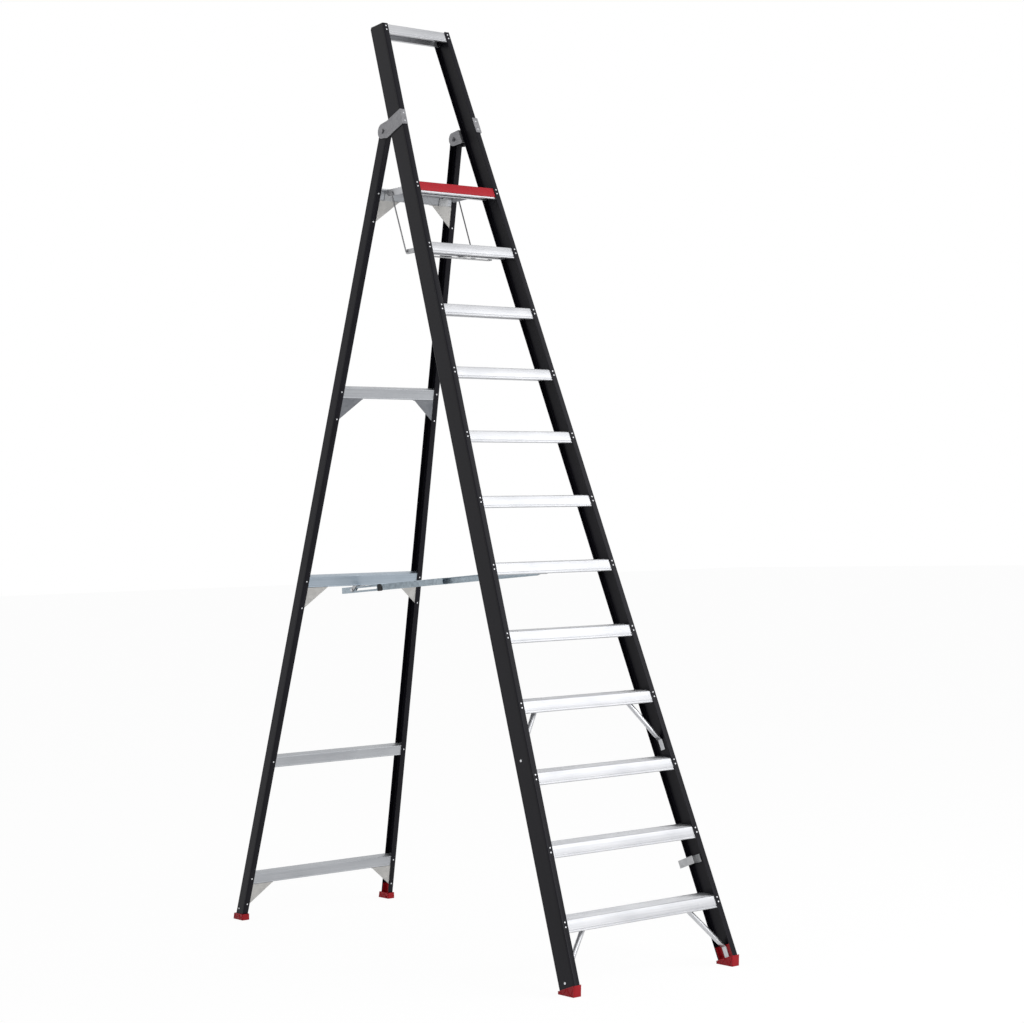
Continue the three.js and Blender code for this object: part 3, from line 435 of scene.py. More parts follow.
@dataclass(frozen=True)
class MouldedPlastic(Finish):
    """Moulded plastic: fine grain, cloudy sheen, and paler scuffs."""

    base: Colour = (0.60, 0.016, 0.032)
    deep: Colour = (0.50, 0.012, 0.024)
    scuffed: Colour = (0.58, 0.10, 0.11)
    roughness: float = 0.40

    def paint(self, graph: Graph) -> None:
        """Paints a cloudy sheen, grain and scuffs.

        Args:
            graph: the material's graph.
        """
        vector = graph.place(0.0, (1.0, 1.0, 1.0))
        cloud = graph.noise(vector, 30.0, 3.0, 0.55)
        grain = graph.noise(vector, 1400.0, 2.0, 0.5)
        scuff = graph.noise(graph.place(0.3, (35, 120, 120)), 1.0, 5.0, 0.75)
        worn = graph.band(scuff, 0.66, 0.80) * 0.45
        graph.surface(
            Base_Color=graph.mix(worn, graph.mix(cloud, self.deep, self.base), self.scuffed),
            Roughness=self.roughness + (cloud - 0.5) * 0.18 + worn * 0.3,
            Specular_IOR_Level=0.25,
        )
        graph.bump(grain, 0.00010, 0.35)


class Finishes:
    """Every material of the ladder, made once."""

    def __init__(self, front_lean: float, rear_lean: float) -> None:
        """Builds the materials.

        Args:
            front_lean: lean of the front frame in radians.
            rear_lean: lean of the rear frame in radians, negative.
        """
        self.dark_front = CoatedChannel(front_lean).build("dark_coat_front")
        self.dark_rear = CoatedChannel(rear_lean).build("dark_coat_rear")
        self.tread = DrawnMetal(front_lean).build("tread_aluminium")
        self.bar = DrawnMetal(
            rear_lean, bright=(0.52, 0.535, 0.56), dull=(0.40, 0.415, 0.44), roughness=0.42
        ).build("bar_aluminium")
        self.tube = DrawnMetal(
            front_lean, streak=(160.0, 380.0, 14.0), roughness=0.34
        ).build("tube_aluminium")
        self.galvanised = Galvanised().build("galvanised_sheet")
        self.stay = Galvanised(
            bright=(0.48, 0.56, 0.62), dull=(0.33, 0.39, 0.44), metallic=0.7
        ).build("stay_sheet")
        self.hinge = Galvanised(
            bright=(0.33, 0.33, 0.345), dull=(0.23, 0.23, 0.245), crystal=130.0, metallic=0.6
        ).build("hinge_sheet")
        self.blue_bar = DrawnMetal(
            rear_lean, bright=(0.46, 0.53, 0.60), dull=(0.35, 0.41, 0.47), roughness=0.42
        ).build("bar_blue")
        self.plate = Galvanised(
            bright=(0.62, 0.61, 0.59), dull=(0.50, 0.495, 0.48), crystal=60.0,
            roughness=0.5, metallic=0.55,
        ).build("gusset_sheet")
        # A darker copy of the gusset sheet, the same sheet as the others: painted shade for the fourth
        # bar's gussets
        self.plate_painted_shade = Galvanised(
            bright=(0.24, 0.25, 0.27), dull=(0.18, 0.19, 0.21), crystal=60.0,
            roughness=0.5, metallic=0.55,
        ).build("gusset_painted_shade")
        self.steel = Galvanised(
            bright=(0.72, 0.73, 0.75), dull=(0.56, 0.57, 0.59), crystal=300.0,
            roughness=0.3, metallic=0.92,
        ).build("plated_steel")
        self.rod = Galvanised(
            bright=(0.30, 0.30, 0.31), dull=(0.20, 0.20, 0.21), crystal=400.0,
            roughness=0.35, metallic=0.9,
        ).build("rod_steel")
        self.red = MouldedPlastic().build("red_moulding")
        # Darker copy of the red plastic for the foot mouldings: painted shade for the recesses between
        # the ribs
        self.red_painted_recess_shade = MouldedPlastic(
            base=(0.50, 0.012, 0.022), deep=(0.40, 0.009, 0.016), scuffed=(0.58, 0.05, 0.06)
        ).build("red_painted_shade")
        self.clip = MouldedPlastic(
            base=(0.030, 0.031, 0.034), deep=(0.018, 0.018, 0.02),
            scuffed=(0.09, 0.09, 0.09), roughness=0.5,
        ).build("dark_clip")


# ------------------------------------------------------------------ shapes


def fillet(points: Sequence[Sequence[float]], radii: Sequence[float], steps: int = 4) -> Array:
    """Rounds the corners of a closed outline.

    Each corner is replaced by points of the circle that touches both of its edges: the touching
    points lie radius / tan(half the corner's angle) from the corner, and the points between sweep
    round the circle's centre, which lies on the bisector.

    Args:
        points: corners of the outline, two numbers each.
        radii: radius at each corner, 0 for a sharp one.
        steps: segments round each corner.

    Returns:
        The rounded outline, one row per point.
    """
    corners = np.asarray(points, float)
    out = []
    for corner, before, after, radius in zip(
        corners, np.roll(corners, 1, axis=0), np.roll(corners, -1, axis=0), radii
    ):
        if radius <= 0:
            out.append(corner[None])
            continue
        u = (before - corner) / np.linalg.norm(before - corner)
        v = (after - corner) / np.linalg.norm(after - corner)
        half = math.acos(float(np.clip(u @ v, -1, 1))) / 2
        centre = corner + (u + v) / np.linalg.norm(u + v) * radius / math.sin(half)
        start = corner + u * radius / math.tan(half) - centre
        end = corner + v * radius / math.tan(half) - centre
        sweep = math.pi - 2 * half
        share = np.linspace(0, 1, steps + 1)[:, None]
        arc = (np.sin((1 - share) * sweep) * start + np.sin(share * sweep) * end) / math.sin(sweep)
        out.append(centre + arc)
    return np.concatenate(out)


def loft(rings: Array) -> Rings:
    """A closed tube through rings of points, with flat ends.

    Point j of ring i is vertex i * n + j, and each face joins the same two points of two
    neighbouring rings.

    Args:
        rings: array of shape (rings, points, 3).

    Returns:
        Vertices and faces.
    """
    count, n = rings.shape[:2]
    i, j = np.meshgrid(np.arange(count - 1), np.arange(n), indexing="ij")
    k = (j + 1) % n
    quads = np.stack([i * n + j, i * n + k, (i + 1) * n + k, (i + 1) * n + j], axis=-1)
    faces = quads.reshape(-1, 4).tolist()
    faces.append(list(range(n))[::-1])
    faces.append(list(range((count - 1) * n, count * n)))
    return rings.reshape(-1, 3), faces


def lathe(profile: Array, centre: Array, axis: Array, sides: int) -> Rings:
    """Turned pieces, one for each centre: the profile's distance along the axis and radius.

    A point is centre + axis * along + (u cos t + v sin t) * radius, with u and v at right angles
    to the axis, t going once round. Both ends are closed by flat faces.

    Args:
        profile: rows of (along, radius).
        centre: one point or many, shape (k, 3).
        axis: the matching unit axes, shape (k, 3).
        sides: segments round.

    Returns:
        Vertices and faces.
    """
    centre, axis = np.atleast_2d(centre), np.atleast_2d(axis)
    helper = np.where(np.abs(axis[:, :1]) > 0.9, [[0.0, 1.0, 0.0]], [[1.0, 0.0, 0.0]])
    u = np.cross(axis, helper)
    u /= np.linalg.norm(u, axis=1, keepdims=True)
    v = np.cross(axis, u)
    t = np.linspace(0, 2 * math.pi, sides, endpoint=False)
    spoke = u[:, None] * np.cos(t)[None, :, None] + v[:, None] * np.sin(t)[None, :, None]
    along, radius = profile[:, 0], profile[:, 1]
    rings = (
        centre[:, None, None]
        + axis[:, None, None] * along[None, :, None, None]
        + spoke[:, None] * radius[None, :, None, None]
    )
    return gather([loft(ring) for ring in rings])


def gather(parts: Sequence[Rings]) -> Rings:
    """Puts several closed shapes into one mesh, their face numbers shifted.

    Args:
        parts: vertices and faces of each shape.

    Returns:
        Vertices and faces of all of them.
    """
    starts = np.cumsum([0] + [len(vertices) for vertices, _ in parts])
    faces = [
        [index + int(start) for index in face]
        for (_, group), start in zip(parts, starts)
        for face in group
    ]
    return np.concatenate([vertices for vertices, _ in parts]), faces


@dataclass(frozen=True)
class Modifiers:
    """Finishing of a piece: an edge rounding in metres and the angle above which edges show."""

    bevel: float = 0.0
    segments: int = 2
    angle: float = 30.0


def make_piece(
    name: str,
    shape: Rings,
    material: bpy.types.Material,
    body: Body,
    replaces: Sequence[str] = (),
    finish: Modifiers = Modifiers(),
) -> bpy.types.Object:
    """Makes a piece in place and joins it to its body.

    Args:
        name: the piece's name.
        shape: vertices in millimetres and faces.
        material: its material.
        body: the body it rides on.
        replaces: CAD nodes that it stands for.
        finish: edge rounding and smoothing.

    Returns:
        The object.
    """
    vertices, faces = shape
    mesh = bpy.data.meshes.new(name)
    mesh.from_pydata((vertices * MM).tolist(), [], faces)
    tidy = bmesh.new()
    tidy.from_mesh(mesh)
    bmesh.ops.recalc_face_normals(tidy, faces=tidy.faces)
    tidy.to_mesh(mesh)
    tidy.free()
    mesh.polygons.foreach_set("use_smooth", np.ones(len(mesh.polygons), bool))
    mesh.set_sharp_from_angle(angle=math.radians(finish.angle))
    mesh.materials.append(material)
    piece = bpy.data.objects.new(name, mesh)
    bpy.context.scene.collection.objects.link(piece)
    if finish.bevel:
        add_bevel(piece, finish)
    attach(piece, body.value)
    if replaces:
        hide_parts(*replaces)
    LOG.info("%s: %d vertices on %s", name, len(vertices), body.value)
    return piece


def add_bevel(piece: bpy.types.Object, finish: Modifiers) -> None:
    """Adds the edge rounding of a piece.

    Args:
        piece: the piece or CAD node.
        finish: its edge rounding.
    """
    bevel = piece.modifiers.new("edges", "BEVEL")
    bevel.width = finish.bevel
    bevel.segments = finish.segments
    bevel.limit_method = "ANGLE"
    bevel.angle_limit = math.radians(finish.angle)
    bevel.harden_normals = True


def dress_node(name: str, material: bpy.types.Material, bevel: float = 0.0004) -> None:
    """Gives a CAD node its material and soft edges.

    Args:
        name: the node.
        material: its material.
        bevel: edge rounding in metres, 0 for none.
    """
    node = frame["nodes"][name]
    for material_slot in node.material_slots:
        material_slot.link = "OBJECT"
        material_slot.material = material
    if bevel:
        weld = node.modifiers.new("weld", "WELD")
        weld.merge_threshold = 1e-5
        add_bevel(node, Modifiers(bevel, 2, 35.0))
    LOG.info("%s keeps its frame shape", name)


# ------------------------------------------------------------------ the two frames


def joint_place(name: str) -> Array:
    """Finds a joint of the frame.

    Args:
        name: the joint's name.

    Returns:
        Its world y and z in mm.
    """
    joints = frame["record"]["behaviour"]["joints"]
    place = next(joint["pos_m"] for joint in joints if joint["name"] == name)
    return np.array(place[1:]) / MM


@dataclass(frozen=True)
class Incline:
    """A leaning frame: x runs across, d back from the front flange, s up the stile, in mm."""

    lean: float
    foot: float
    base_half: float
    taper: float

    def half(self, s: float | Array) -> float | Array:
        """Half the width over the webs at height s."""
        return self.base_half - self.taper * s

    def world(self, x: Array, d: Array, s: Array) -> Array:
        """Turns frame coordinates into world ones: y = foot + s sin + d cos, z = s cos - d sin.

        Args:
            x: distances across.
            d: distances back from the flange face.
            s: distances up the stile.

        Returns:
            World points in millimetres, with one more axis than the inputs.
        """
        x, d, s = np.broadcast_arrays(x, d, s)
        sin, cos = math.sin(self.lean), math.cos(self.lean)
        return np.stack([x, self.foot + s * sin + d * cos, s * cos - d * sin], axis=-1)

    def direction(self, x: float, d: float, s: float) -> Array:
        """A direction of the frame in world axes."""
        sin, cos = math.sin(self.lean), math.cos(self.lean)
        return np.array([x, s * sin + d * cos, s * cos - d * sin])

    def across(self, outline: Array, s: float, half: float) -> Rings:
        """A bar along x from an outline of (d, height above s), of length twice half."""
        x = np.array([-half, half])[:, None]
        return loft(self.world(x, outline[None, :, 0], outline[None, :, 1] + s))


@dataclass(frozen=True)
class Layout:
    """Heights along the stiles, their spread, and how the frames meet, in mm.

    Each rear bar has the tread that it stands behind, its height above it and whether it has
    gussets.
    """

    front_lean: float = math.radians(20)
    rear_lean: float = math.radians(16)
    pitch: float = 250.0
    first: float = 239.5
    treads: int = 11
    hinge_rise: float = 292.0
    hinge_setback: float = 128.0
    hinge_in_rear: float = 28.0
    top_rise: float = 688.3
    base_half: float = 370.6
    front_taper: float = 0.0583
    rear_taper: float = 0.06
    rear_inside: float = 1.6
    bars: tuple[tuple[int, float, bool], ...] = (
        (1, 60.9, True),
        (3, 51.8, False),
        (6, 40.0, True),
        (9, 44.4, True),
        (12, 60.3, True),
    )

    def tread(self, number: int) -> float:
        """Height of a tread's centre line."""
        return self.first + (number - 1) * self.pitch

    @property
    def platform(self) -> float:
        """Height of the platform's centre line."""
        return self.tread(self.treads + 1)

    @property
    def hinge(self) -> float:
        """Height of the hinge on the front stile."""
        return self.platform + self.hinge_rise

    @property
    def top(self) -> float:
        """Height of the stile's top at its front flange."""
        return self.platform + self.top_rise

    def pivot(self) -> Array:
        """World y and z of the hinge."""
        return joint_place("fold")

    @property
    def rear_hinge(self) -> float:
        """Height of the hinge on the rear stile."""
        z = self.pivot()[1]
        return (z - self.hinge_in_rear * math.sin(self.rear_lean)) / math.cos(self.rear_lean)

    def bar(self, index: int) -> float:
        """Height of a rear bar's centre line on the rear stile."""
        tread, above, _ = self.bars[index]
        return self.rear_hinge - self.hinge + self.tread(tread) + above

    def front(self) -> Incline:
        """The front frame's coordinates.

        Returns:
            An incline whose foot puts the hinge at its joint.
        """
        sin, cos = math.sin(self.front_lean), math.cos(self.front_lean)
        foot = self.pivot()[0] - self.hinge * sin - self.hinge_setback * cos
        return Incline(self.front_lean, foot, self.base_half, self.front_taper)

    def rear(self) -> Incline:
        """The rear frame's coordinates.

        Returns:
            An incline that leans the other way and meets the front one at the hinge.
        """
        sin, cos = math.sin(self.rear_lean), math.cos(self.rear_lean)
        foot = self.pivot()[0] + self.rear_hinge * sin - self.hinge_in_rear * cos
        at_hinge = self.front().half(self.hinge) - self.rear_inside
        half = at_hinge + self.rear_taper * self.rear_hinge
        return Incline(-self.rear_lean, foot, half, self.rear_taper)


@dataclass
class Channel:
    """A stile: a channel section with rounded corners and drawn grooves, carried up its incline."""

    depth: float
    front_flange: float
    rear_flange: float
    wall: float = 2.6
    corner: float = 3.0
    tip: float = 1.2
    groove: float = 0.45
    groove_places: tuple[float, ...] = (9.0,)

    def outline(self) -> Array:
        """The section as rows of (x from the web's face, d), grooves cut into the web's face.

        Returns:
            The closed outline.
        """
        corners = [(-self.front_flange, 0.0), (0.0, 0.0)]
        radii = [self.tip, self.corner]
        for place in sorted({*self.groove_places, *(self.depth - p for p in self.groove_places)}):
            corners += [
                (0.0, place - self.groove),
                (-self.groove, place),
                (0.0, place + self.groove),
            ]
            radii += [0.0, 0.0, 0.0]
        corners += [
            (0.0, self.depth),
            (-self.rear_flange, self.depth),
            (-self.rear_flange, self.depth - self.wall),
            (-self.wall, self.depth - self.wall),
            (-self.wall, self.wall),
            (-self.front_flange, self.wall),
        ]
        radii += [self.corner, self.tip, self.tip, 1.0, 1.0, self.tip]
        return fillet(corners, radii)

    def build(
        self,
        incline: Incline,
        side: Side,
        bottom: Callable[[Array], Array],
        top: Callable[[Array], Array],
    ) -> Rings:
        """Carries the section from bottom to top along the tapering stile.

        A point of the section at share t sits at s = bottom(d) (1 - t) + top(d) t, and its x is
        the side's sign times (half the width at s plus the section's x).

        Args:
            incline: the frame it belongs to.
            side: left or right.
            bottom: height of the lower cut for each depth.
            top: height of the upper cut for each depth.

        Returns:
            Vertices and faces.
        """
        section = self.outline()
        share = np.linspace(0, 1, 13)[:, None]
        d = section[None, :, 1]
        s = bottom(d) * (1 - share) + top(d) * share
        x = side.value * (incline.half(s) + section[None, :, 0])
        return loft(incline.world(x, d, s))


@dataclass
class Part:
    """A group of the ladder's pieces, with what all groups are built from."""

    layout: Layout
    finishes: Finishes


@dataclass
class Stiles(Part):
    """The two front and two rear stiles."""

    front: Channel = field(default_factory=lambda: Channel(84.0, 23.0, 20.0))
    rear: Channel = field(default_factory=lambda: Channel(49.6, 23.5, 23.5, groove_places=(8.0,)))
    foot: float = 41.0
    top_corner: float = 16.0
    rear_foot: float = 24.3

    def front_top(self, d: Array) -> Array:
        """Upper cut of a front stile: level in the world, falling round the rear corner.

        Beyond the corner's start the cut follows a circle that touches the level line and the
        rear face.

        Args:
            d: depths behind the flange face.

        Returns:
            Height of the cut at each depth.
        """
        lean = self.layout.front_lean
        r, depth = self.top_corner, self.front.depth
        level = self.layout.top + d * math.tan(lean)
        centre_d = depth - r
        centre_s = self.layout.top + centre_d * math.tan(lean) - r / math.cos(lean)
        reach = np.clip((d - centre_d) / r, -1.0, 1.0)
        rounded = centre_s + r * np.sqrt(1 - reach**2)
        return np.where(d > centre_d - r * math.sin(lean), np.minimum(level, rounded), level)

    def rear_top(self, d: Array) -> Array:
        """Upper end of a rear stile: a half circle as wide as the stile."""
        r = self.rear.depth / 2
        return self.layout.rear_hinge + np.sqrt(np.maximum(0.0, r * r - (d - r) ** 2))

    def rear_bottom(self, d: Array) -> Array:
        """Lower cut of a rear stile: level in the world."""
        lean = self.layout.rear_lean
        return (self.rear_foot - d * math.sin(lean)) / math.cos(lean)

    def build(self) -> None:
        """Builds the four stiles."""
        for side in Side:
            front = self.front.build(
                self.layout.front(), side, lambda d: np.full_like(d, self.foot), self.front_top
            )
            make_piece(
                f"stile_front_{side.word}", front, self.finishes.dark_front, Body.FRONT,
                [f"front_stile_{side.word}"],
            )
            rear = self.rear.build(self.layout.rear(), side, self.rear_bottom, self.rear_top)
            make_piece(
                f"stile_rear_{side.word}", rear, self.finishes.dark_rear, Body.REAR,
                [f"rear_stile_{side.word}"],
            )


@dataclass
class Treads(Part):
    """Treads, platform tread with its nosing, and handrail: level channels between the stiles."""

    front: float = 2.9
    rear: float = 81.1
    rise: float = 14.5
    front_drop: float = 27.5
    rear_depth: float = 40.0
    wall: float = 2.0
    lip: float = 8.0
    nose: float = 3.2
    bead: float = 1.3
    bead_heights: tuple[float, ...] = (5.0, 5.6, 7.6, 8.2)
    ribs: int = 11
    platform_ribs: int = 5
    rib_height: float = 1.1
    rib_width: float = 2.6
    rib_slope: float = 0.35
    rib_start: float = 6.0
    rib_margin: float = 3.0
    nosing_wall: float = 2.7
    nosing_reach: float = 40.0
    nosing_above_foot: float = 6.0
    grooves: tuple[float, ...] = (11.0, 16.5, 22.0, 27.5, 33.0)
    groove_depth: float = 0.7
    groove_corners: tuple[float, ...] = (0.4, 1.8, 2.2)
    play: float = 0.3
    lug_x: float = 140.0
    lug_width: float = 3.0
    lug_radius: float = 6.3
    pivot_setback: float = 88.0
    pivot_drop: float = 11.8
    rail_rise: float = 19.3
    rail_front_drop: float = 22.0
    rail_rear_depth: float = 49.0
    rail_nose: float = 10.0
    rail_below_top: float = 19.8

    def level(self, d: Array | float, rise: float) -> Array | float:
        """Height of a level top at depth d."""
        return rise + (d - self.front) * math.tan(self.layout.front_lean)

    def under(self, d: float, down: float) -> tuple[float, float]:
        """A point at depth d, some way below the level top."""
        return d, float(self.level(d, self.rise)) - down

    def ribbing(self, start: float, end: float, count: int, rise: float) -> tuple[list, list]:
        """Ribs that stand on the level top.

        Args:
            start: depth at which the first rib starts.
            end: depth at which the last rib ends.
            count: number of ribs.
            rise: height of the top's front edge.

        Returns:
            Corners as rows of (d, height), and their radii.
        """
        pitch = (end - start - self.rib_width) / (count - 1)
        starts = start + pitch * np.arange(count)
        ends = starts + self.rib_width
        up = self.rib_height
        rows = np.stack(
            [
                np.stack([starts, self.level(starts, rise)], -1),
                np.stack([starts + self.rib_slope, self.level(starts, rise) + up], -1),
                np.stack([ends - self.rib_slope, self.level(ends, rise) + up], -1),
                np.stack([ends, self.level(ends, rise)], -1),
            ],
            axis=1,
        ).reshape(-1, 2)
        return rows.tolist(), [0.0, self.rib_slope, self.rib_slope, 0.0] * count

    def tread_outline(
        self, rise: float, front_drop: float, rear_depth: float, ribs: int, nose: float
    ) -> Array:
        """Section of a tread or the handrail as rows of (d, height), with a beaded front foot.

        Args:
            rise: height of the top's front edge.
            front_drop: depth of the front leg below the centre line.
            rear_depth: depth of the rear leg below the top.
            ribs: number of ribs on the top.
            nose: rounding of the top's front edge.

        Returns:
            The closed outline.
        """
        thick = self.wall / math.cos(self.layout.front_lean)
        f, r, w = self.front, self.rear, self.wall
        foot = float(self.level(r, rise)) - rear_depth
        bead = zip((f, f + self.bead, f + self.bead, f), self.bead_heights)
        corners = [(f, -front_drop), *((d, up - front_drop) for d, up in bead), (f, rise)]
        radii = [1.8, 0.5, 0.0, 0.0, 0.5, nose]
        if ribs:
            rows, rounds = self.ribbing(f + self.rib_start, r - self.rib_margin, ribs, rise)
            corners += rows
            radii += rounds
        corners += [
            (r, float(self.level(r, rise))),
            (r, foot),
            (r - self.lip, foot),
            (r - self.lip, foot + w),
            (r - w, foot + w),
            (r - w, float(self.level(r - w, rise)) - thick),
            (f + w + self.bead, float(self.level(f + w + self.bead, rise)) - thick),
            (f + w + self.bead, w - front_drop),
            (f + self.lip, w - front_drop),
            (f + self.lip, -front_drop),
        ]
        radii += [1.5, 1.5, 0.9, 0.9, 0.6, 0.6, 0.6, 0.6, 0.9, 0.9]
        return fillet(corners, radii, 3)

    def platform_outline(self) -> Array:
        """Section of the platform tread: the front of its top is lowered under the nosing.

        Returns:
            The closed outline as rows of (d, height).
        """
        lean = self.layout.front_lean
        thick = self.wall / math.cos(lean)
        drop = (self.nosing_wall + self.play) / math.cos(lean)
        f, r, w = self.front + self.nosing_wall + self.play, self.rear, self.wall
        step = self.front + self.nosing_reach + self.play
        foot = float(self.level(r, self.rise)) - self.rear_depth
        at = self.under
        rows, rounds = self.ribbing(
            step + self.rib_margin, r - self.rib_margin, self.platform_ribs, self.rise
        )
        corners = [(f, -self.front_drop), at(f, drop), at(step, drop), at(step, 0), *rows]
        radii = [0.9, 1.5, 0.0, 0.6, *rounds]
        corners += [
            at(r, 0), (r, foot), (r - self.lip, foot), (r - self.lip, foot + w),
            (r - w, foot + w), at(r - w, thick), at(step + w, thick), at(step + w, thick + drop),
            at(f + w, thick + drop), (f + w, w - self.front_drop),
            (f + self.lip, w - self.front_drop), (f + self.lip, -self.front_drop),
        ]
        radii += [1.5, 1.5, 0.9, 0.9, 0.6, 0.6, 0.6, 0.6, 0.6, 0.6, 0.9, 0.9]
        return fillet(corners, radii, 3)

    def nosing_outline(self) -> Array:
        """Section of the nosing: a soft-edged angle with grip grooves along its top.

        Returns:
            The closed outline as rows of (d, height).
        """
        f, w = self.front, self.nosing_wall
        end = f + self.nosing_reach
        skin = w / math.cos(self.layout.front_lean)
        foot = -self.front_drop + self.nosing_above_foot
        at, deep = self.under, self.groove_depth
        near, far, end_of_groove = self.groove_corners
        corners = [(f, foot), at(f, 0.0)]
        radii = [0.8, 2.6]
        for place in self.grooves:
            corners += [at(place, 0), at(place + near, deep)]
            corners += [at(place + far, deep), at(place + end_of_groove, 0)]
            radii += [0.0] * 4
        corners += [at(end, 0), at(end, skin), at(f + w, skin), (f + w, foot)]
        radii += [1.0, 0.4, 0.5, 0.8]
        return fillet(corners, radii, 3)

    def half(self, outline: Array, s: float) -> float:
        """Half the length that fits between the webs at the section's highest point."""
        return float(self.layout.front().half(s + outline[:, 1].max())) - END_INSET

    def lugs(self, number: int) -> Rings:
        """The two lugs that carry a linkage pin behind a tread: a plate rounded about the pin.

        The round end's points are the pin's place + radius * (cos t, sin t), t over half a turn.

        Args:
            number: the tread's number, counted from the floor.

        Returns:
            Vertices and faces.
        """
        front = self.layout.front()
        lean = self.layout.front_lean
        tread = self.layout.tread(number)
        level = (tread + self.rise) * math.cos(lean) - self.front * math.sin(lean)
        d = self.pivot_setback
        s = (level - self.pivot_drop + d * math.sin(lean)) / math.cos(lean)
        t = np.linspace(-math.pi / 2, math.pi / 2, 13)
        r = self.lug_radius
        arc = np.stack([d + r * np.cos(t), s + r * np.sin(t)], -1)
        root = self.rear - 0.5
        outline = np.concatenate([[(root, s - r)], arc, [(root, s + r)]])
        x = self.lug_x + np.array([0.0, self.lug_width])[:, None]
        parts = [
            loft(front.world(side.value * x, outline[None, :, 0], outline[None, :, 1]))
            for side in Side
        ]
        return gather(parts)

    def build(self) -> None:
        """Builds treads, platform, nosing and handrail."""
        front = self.layout.front()
        plain = self.tread_outline(
            self.rise, self.front_drop, self.rear_depth, self.ribs, self.nose
        )
        for number in range(1, self.layout.treads + 1):
            s = self.layout.tread(number)
            shape = front.across(plain, s, self.half(plain, s))
            if number == self.layout.treads:
                shape = gather([shape, self.lugs(number)])
            name = f"tread_{number:02d}"
            make_piece(
                f"step_{number:02d}", shape, self.finishes.tread, Body.FRONT, [name]
            )
        s = self.layout.platform
        outline = self.platform_outline()
        shape = front.across(outline, s, self.half(outline, s))
        make_piece(
            "platform_step", gather([shape, self.lugs(self.layout.treads + 1)]),
            self.finishes.tread, Body.FRONT, ["platform_tread"],
        )
        nosing = self.nosing_outline()
        make_piece(
            "nosing", front.across(nosing, s, self.half(nosing, s)), self.finishes.red,
            Body.FRONT, ["platform_nosing"],
        )
        rail = self.tread_outline(
            self.rail_rise, self.rail_front_drop, self.rail_rear_depth, 0, self.rail_nose
        )
        s = self.layout.top - self.rail_below_top
        make_piece(
            "handrail_bar", front.across(rail, s, self.half(rail, s)), self.finishes.tread,
            Body.FRONT, ["handrail"],
        )


@dataclass
class RearBars(Part):
    """The five rear bars, channels open to the rear with two beads along their web."""

    front: float = 2.9
    rise: float = 17.0
    drop: float = 25.0
    depth: float = 35.0
    wall: float = 2.0
    bead: float = 0.7

    def outline(self) -> Array:
        """Section of a bar.

        Returns:
            The closed outline as rows of (d, height).
        """
        f, e, w, b = self.front, self.front + self.depth, self.wall, self.bead
        corners = [
            (f, -self.drop), (f, 3.5 - self.drop), (f + b, 4.5 - self.drop),
            (f + b, self.rise - 4.5), (f, self.rise - 3.5), (f, self.rise),
            (e, self.rise), (e, self.rise - w), (f + w + b, self.rise - w),
            (f + w + b, w - self.drop), (e, w - self.drop), (e, -self.drop),
        ]
        radii = [1.8, 0.4, 0.4, 0.4, 0.4, 1.8, 0.9, 0.9, 0.8, 0.8, 0.9, 0.9]
        return fillet(corners, radii, 3)

    def build(self) -> None:
        """Builds the bars and dresses their gussets."""
        rear = self.layout.rear()
        outline = self.outline()
        look = self.finishes
        metals = [look.bar, look.bar, look.blue_bar, look.bar, look.bar]
        # The fourth bar's gussets take the darker copy of the sheet, which is painted shade
        sheets = [look.plate, look.plate, look.plate, look.plate_painted_shade, look.plate]
        for index, (_, _, gussets) in enumerate(self.layout.bars):
            s = self.layout.bar(index)
            half = float(rear.half(s + self.rise)) - END_INSET
            make_piece(
                f"bar_{index + 1}", rear.across(outline, s, half), metals[index],
                Body.REAR, [f"rear_bar_{index + 1}"],
            )
            if gussets:
                for side in Side:
                    dress_node(f"gusset_{index + 1}_{side.word}", sheets[index])


@dataclass(frozen=True)
class Brace:
    """A pair of braces: tread, inset of the upper end, drop of the bolt, foot lining's sheet."""

    name: str
    tread: int
    inset: float
    bolt: float
    liner: float


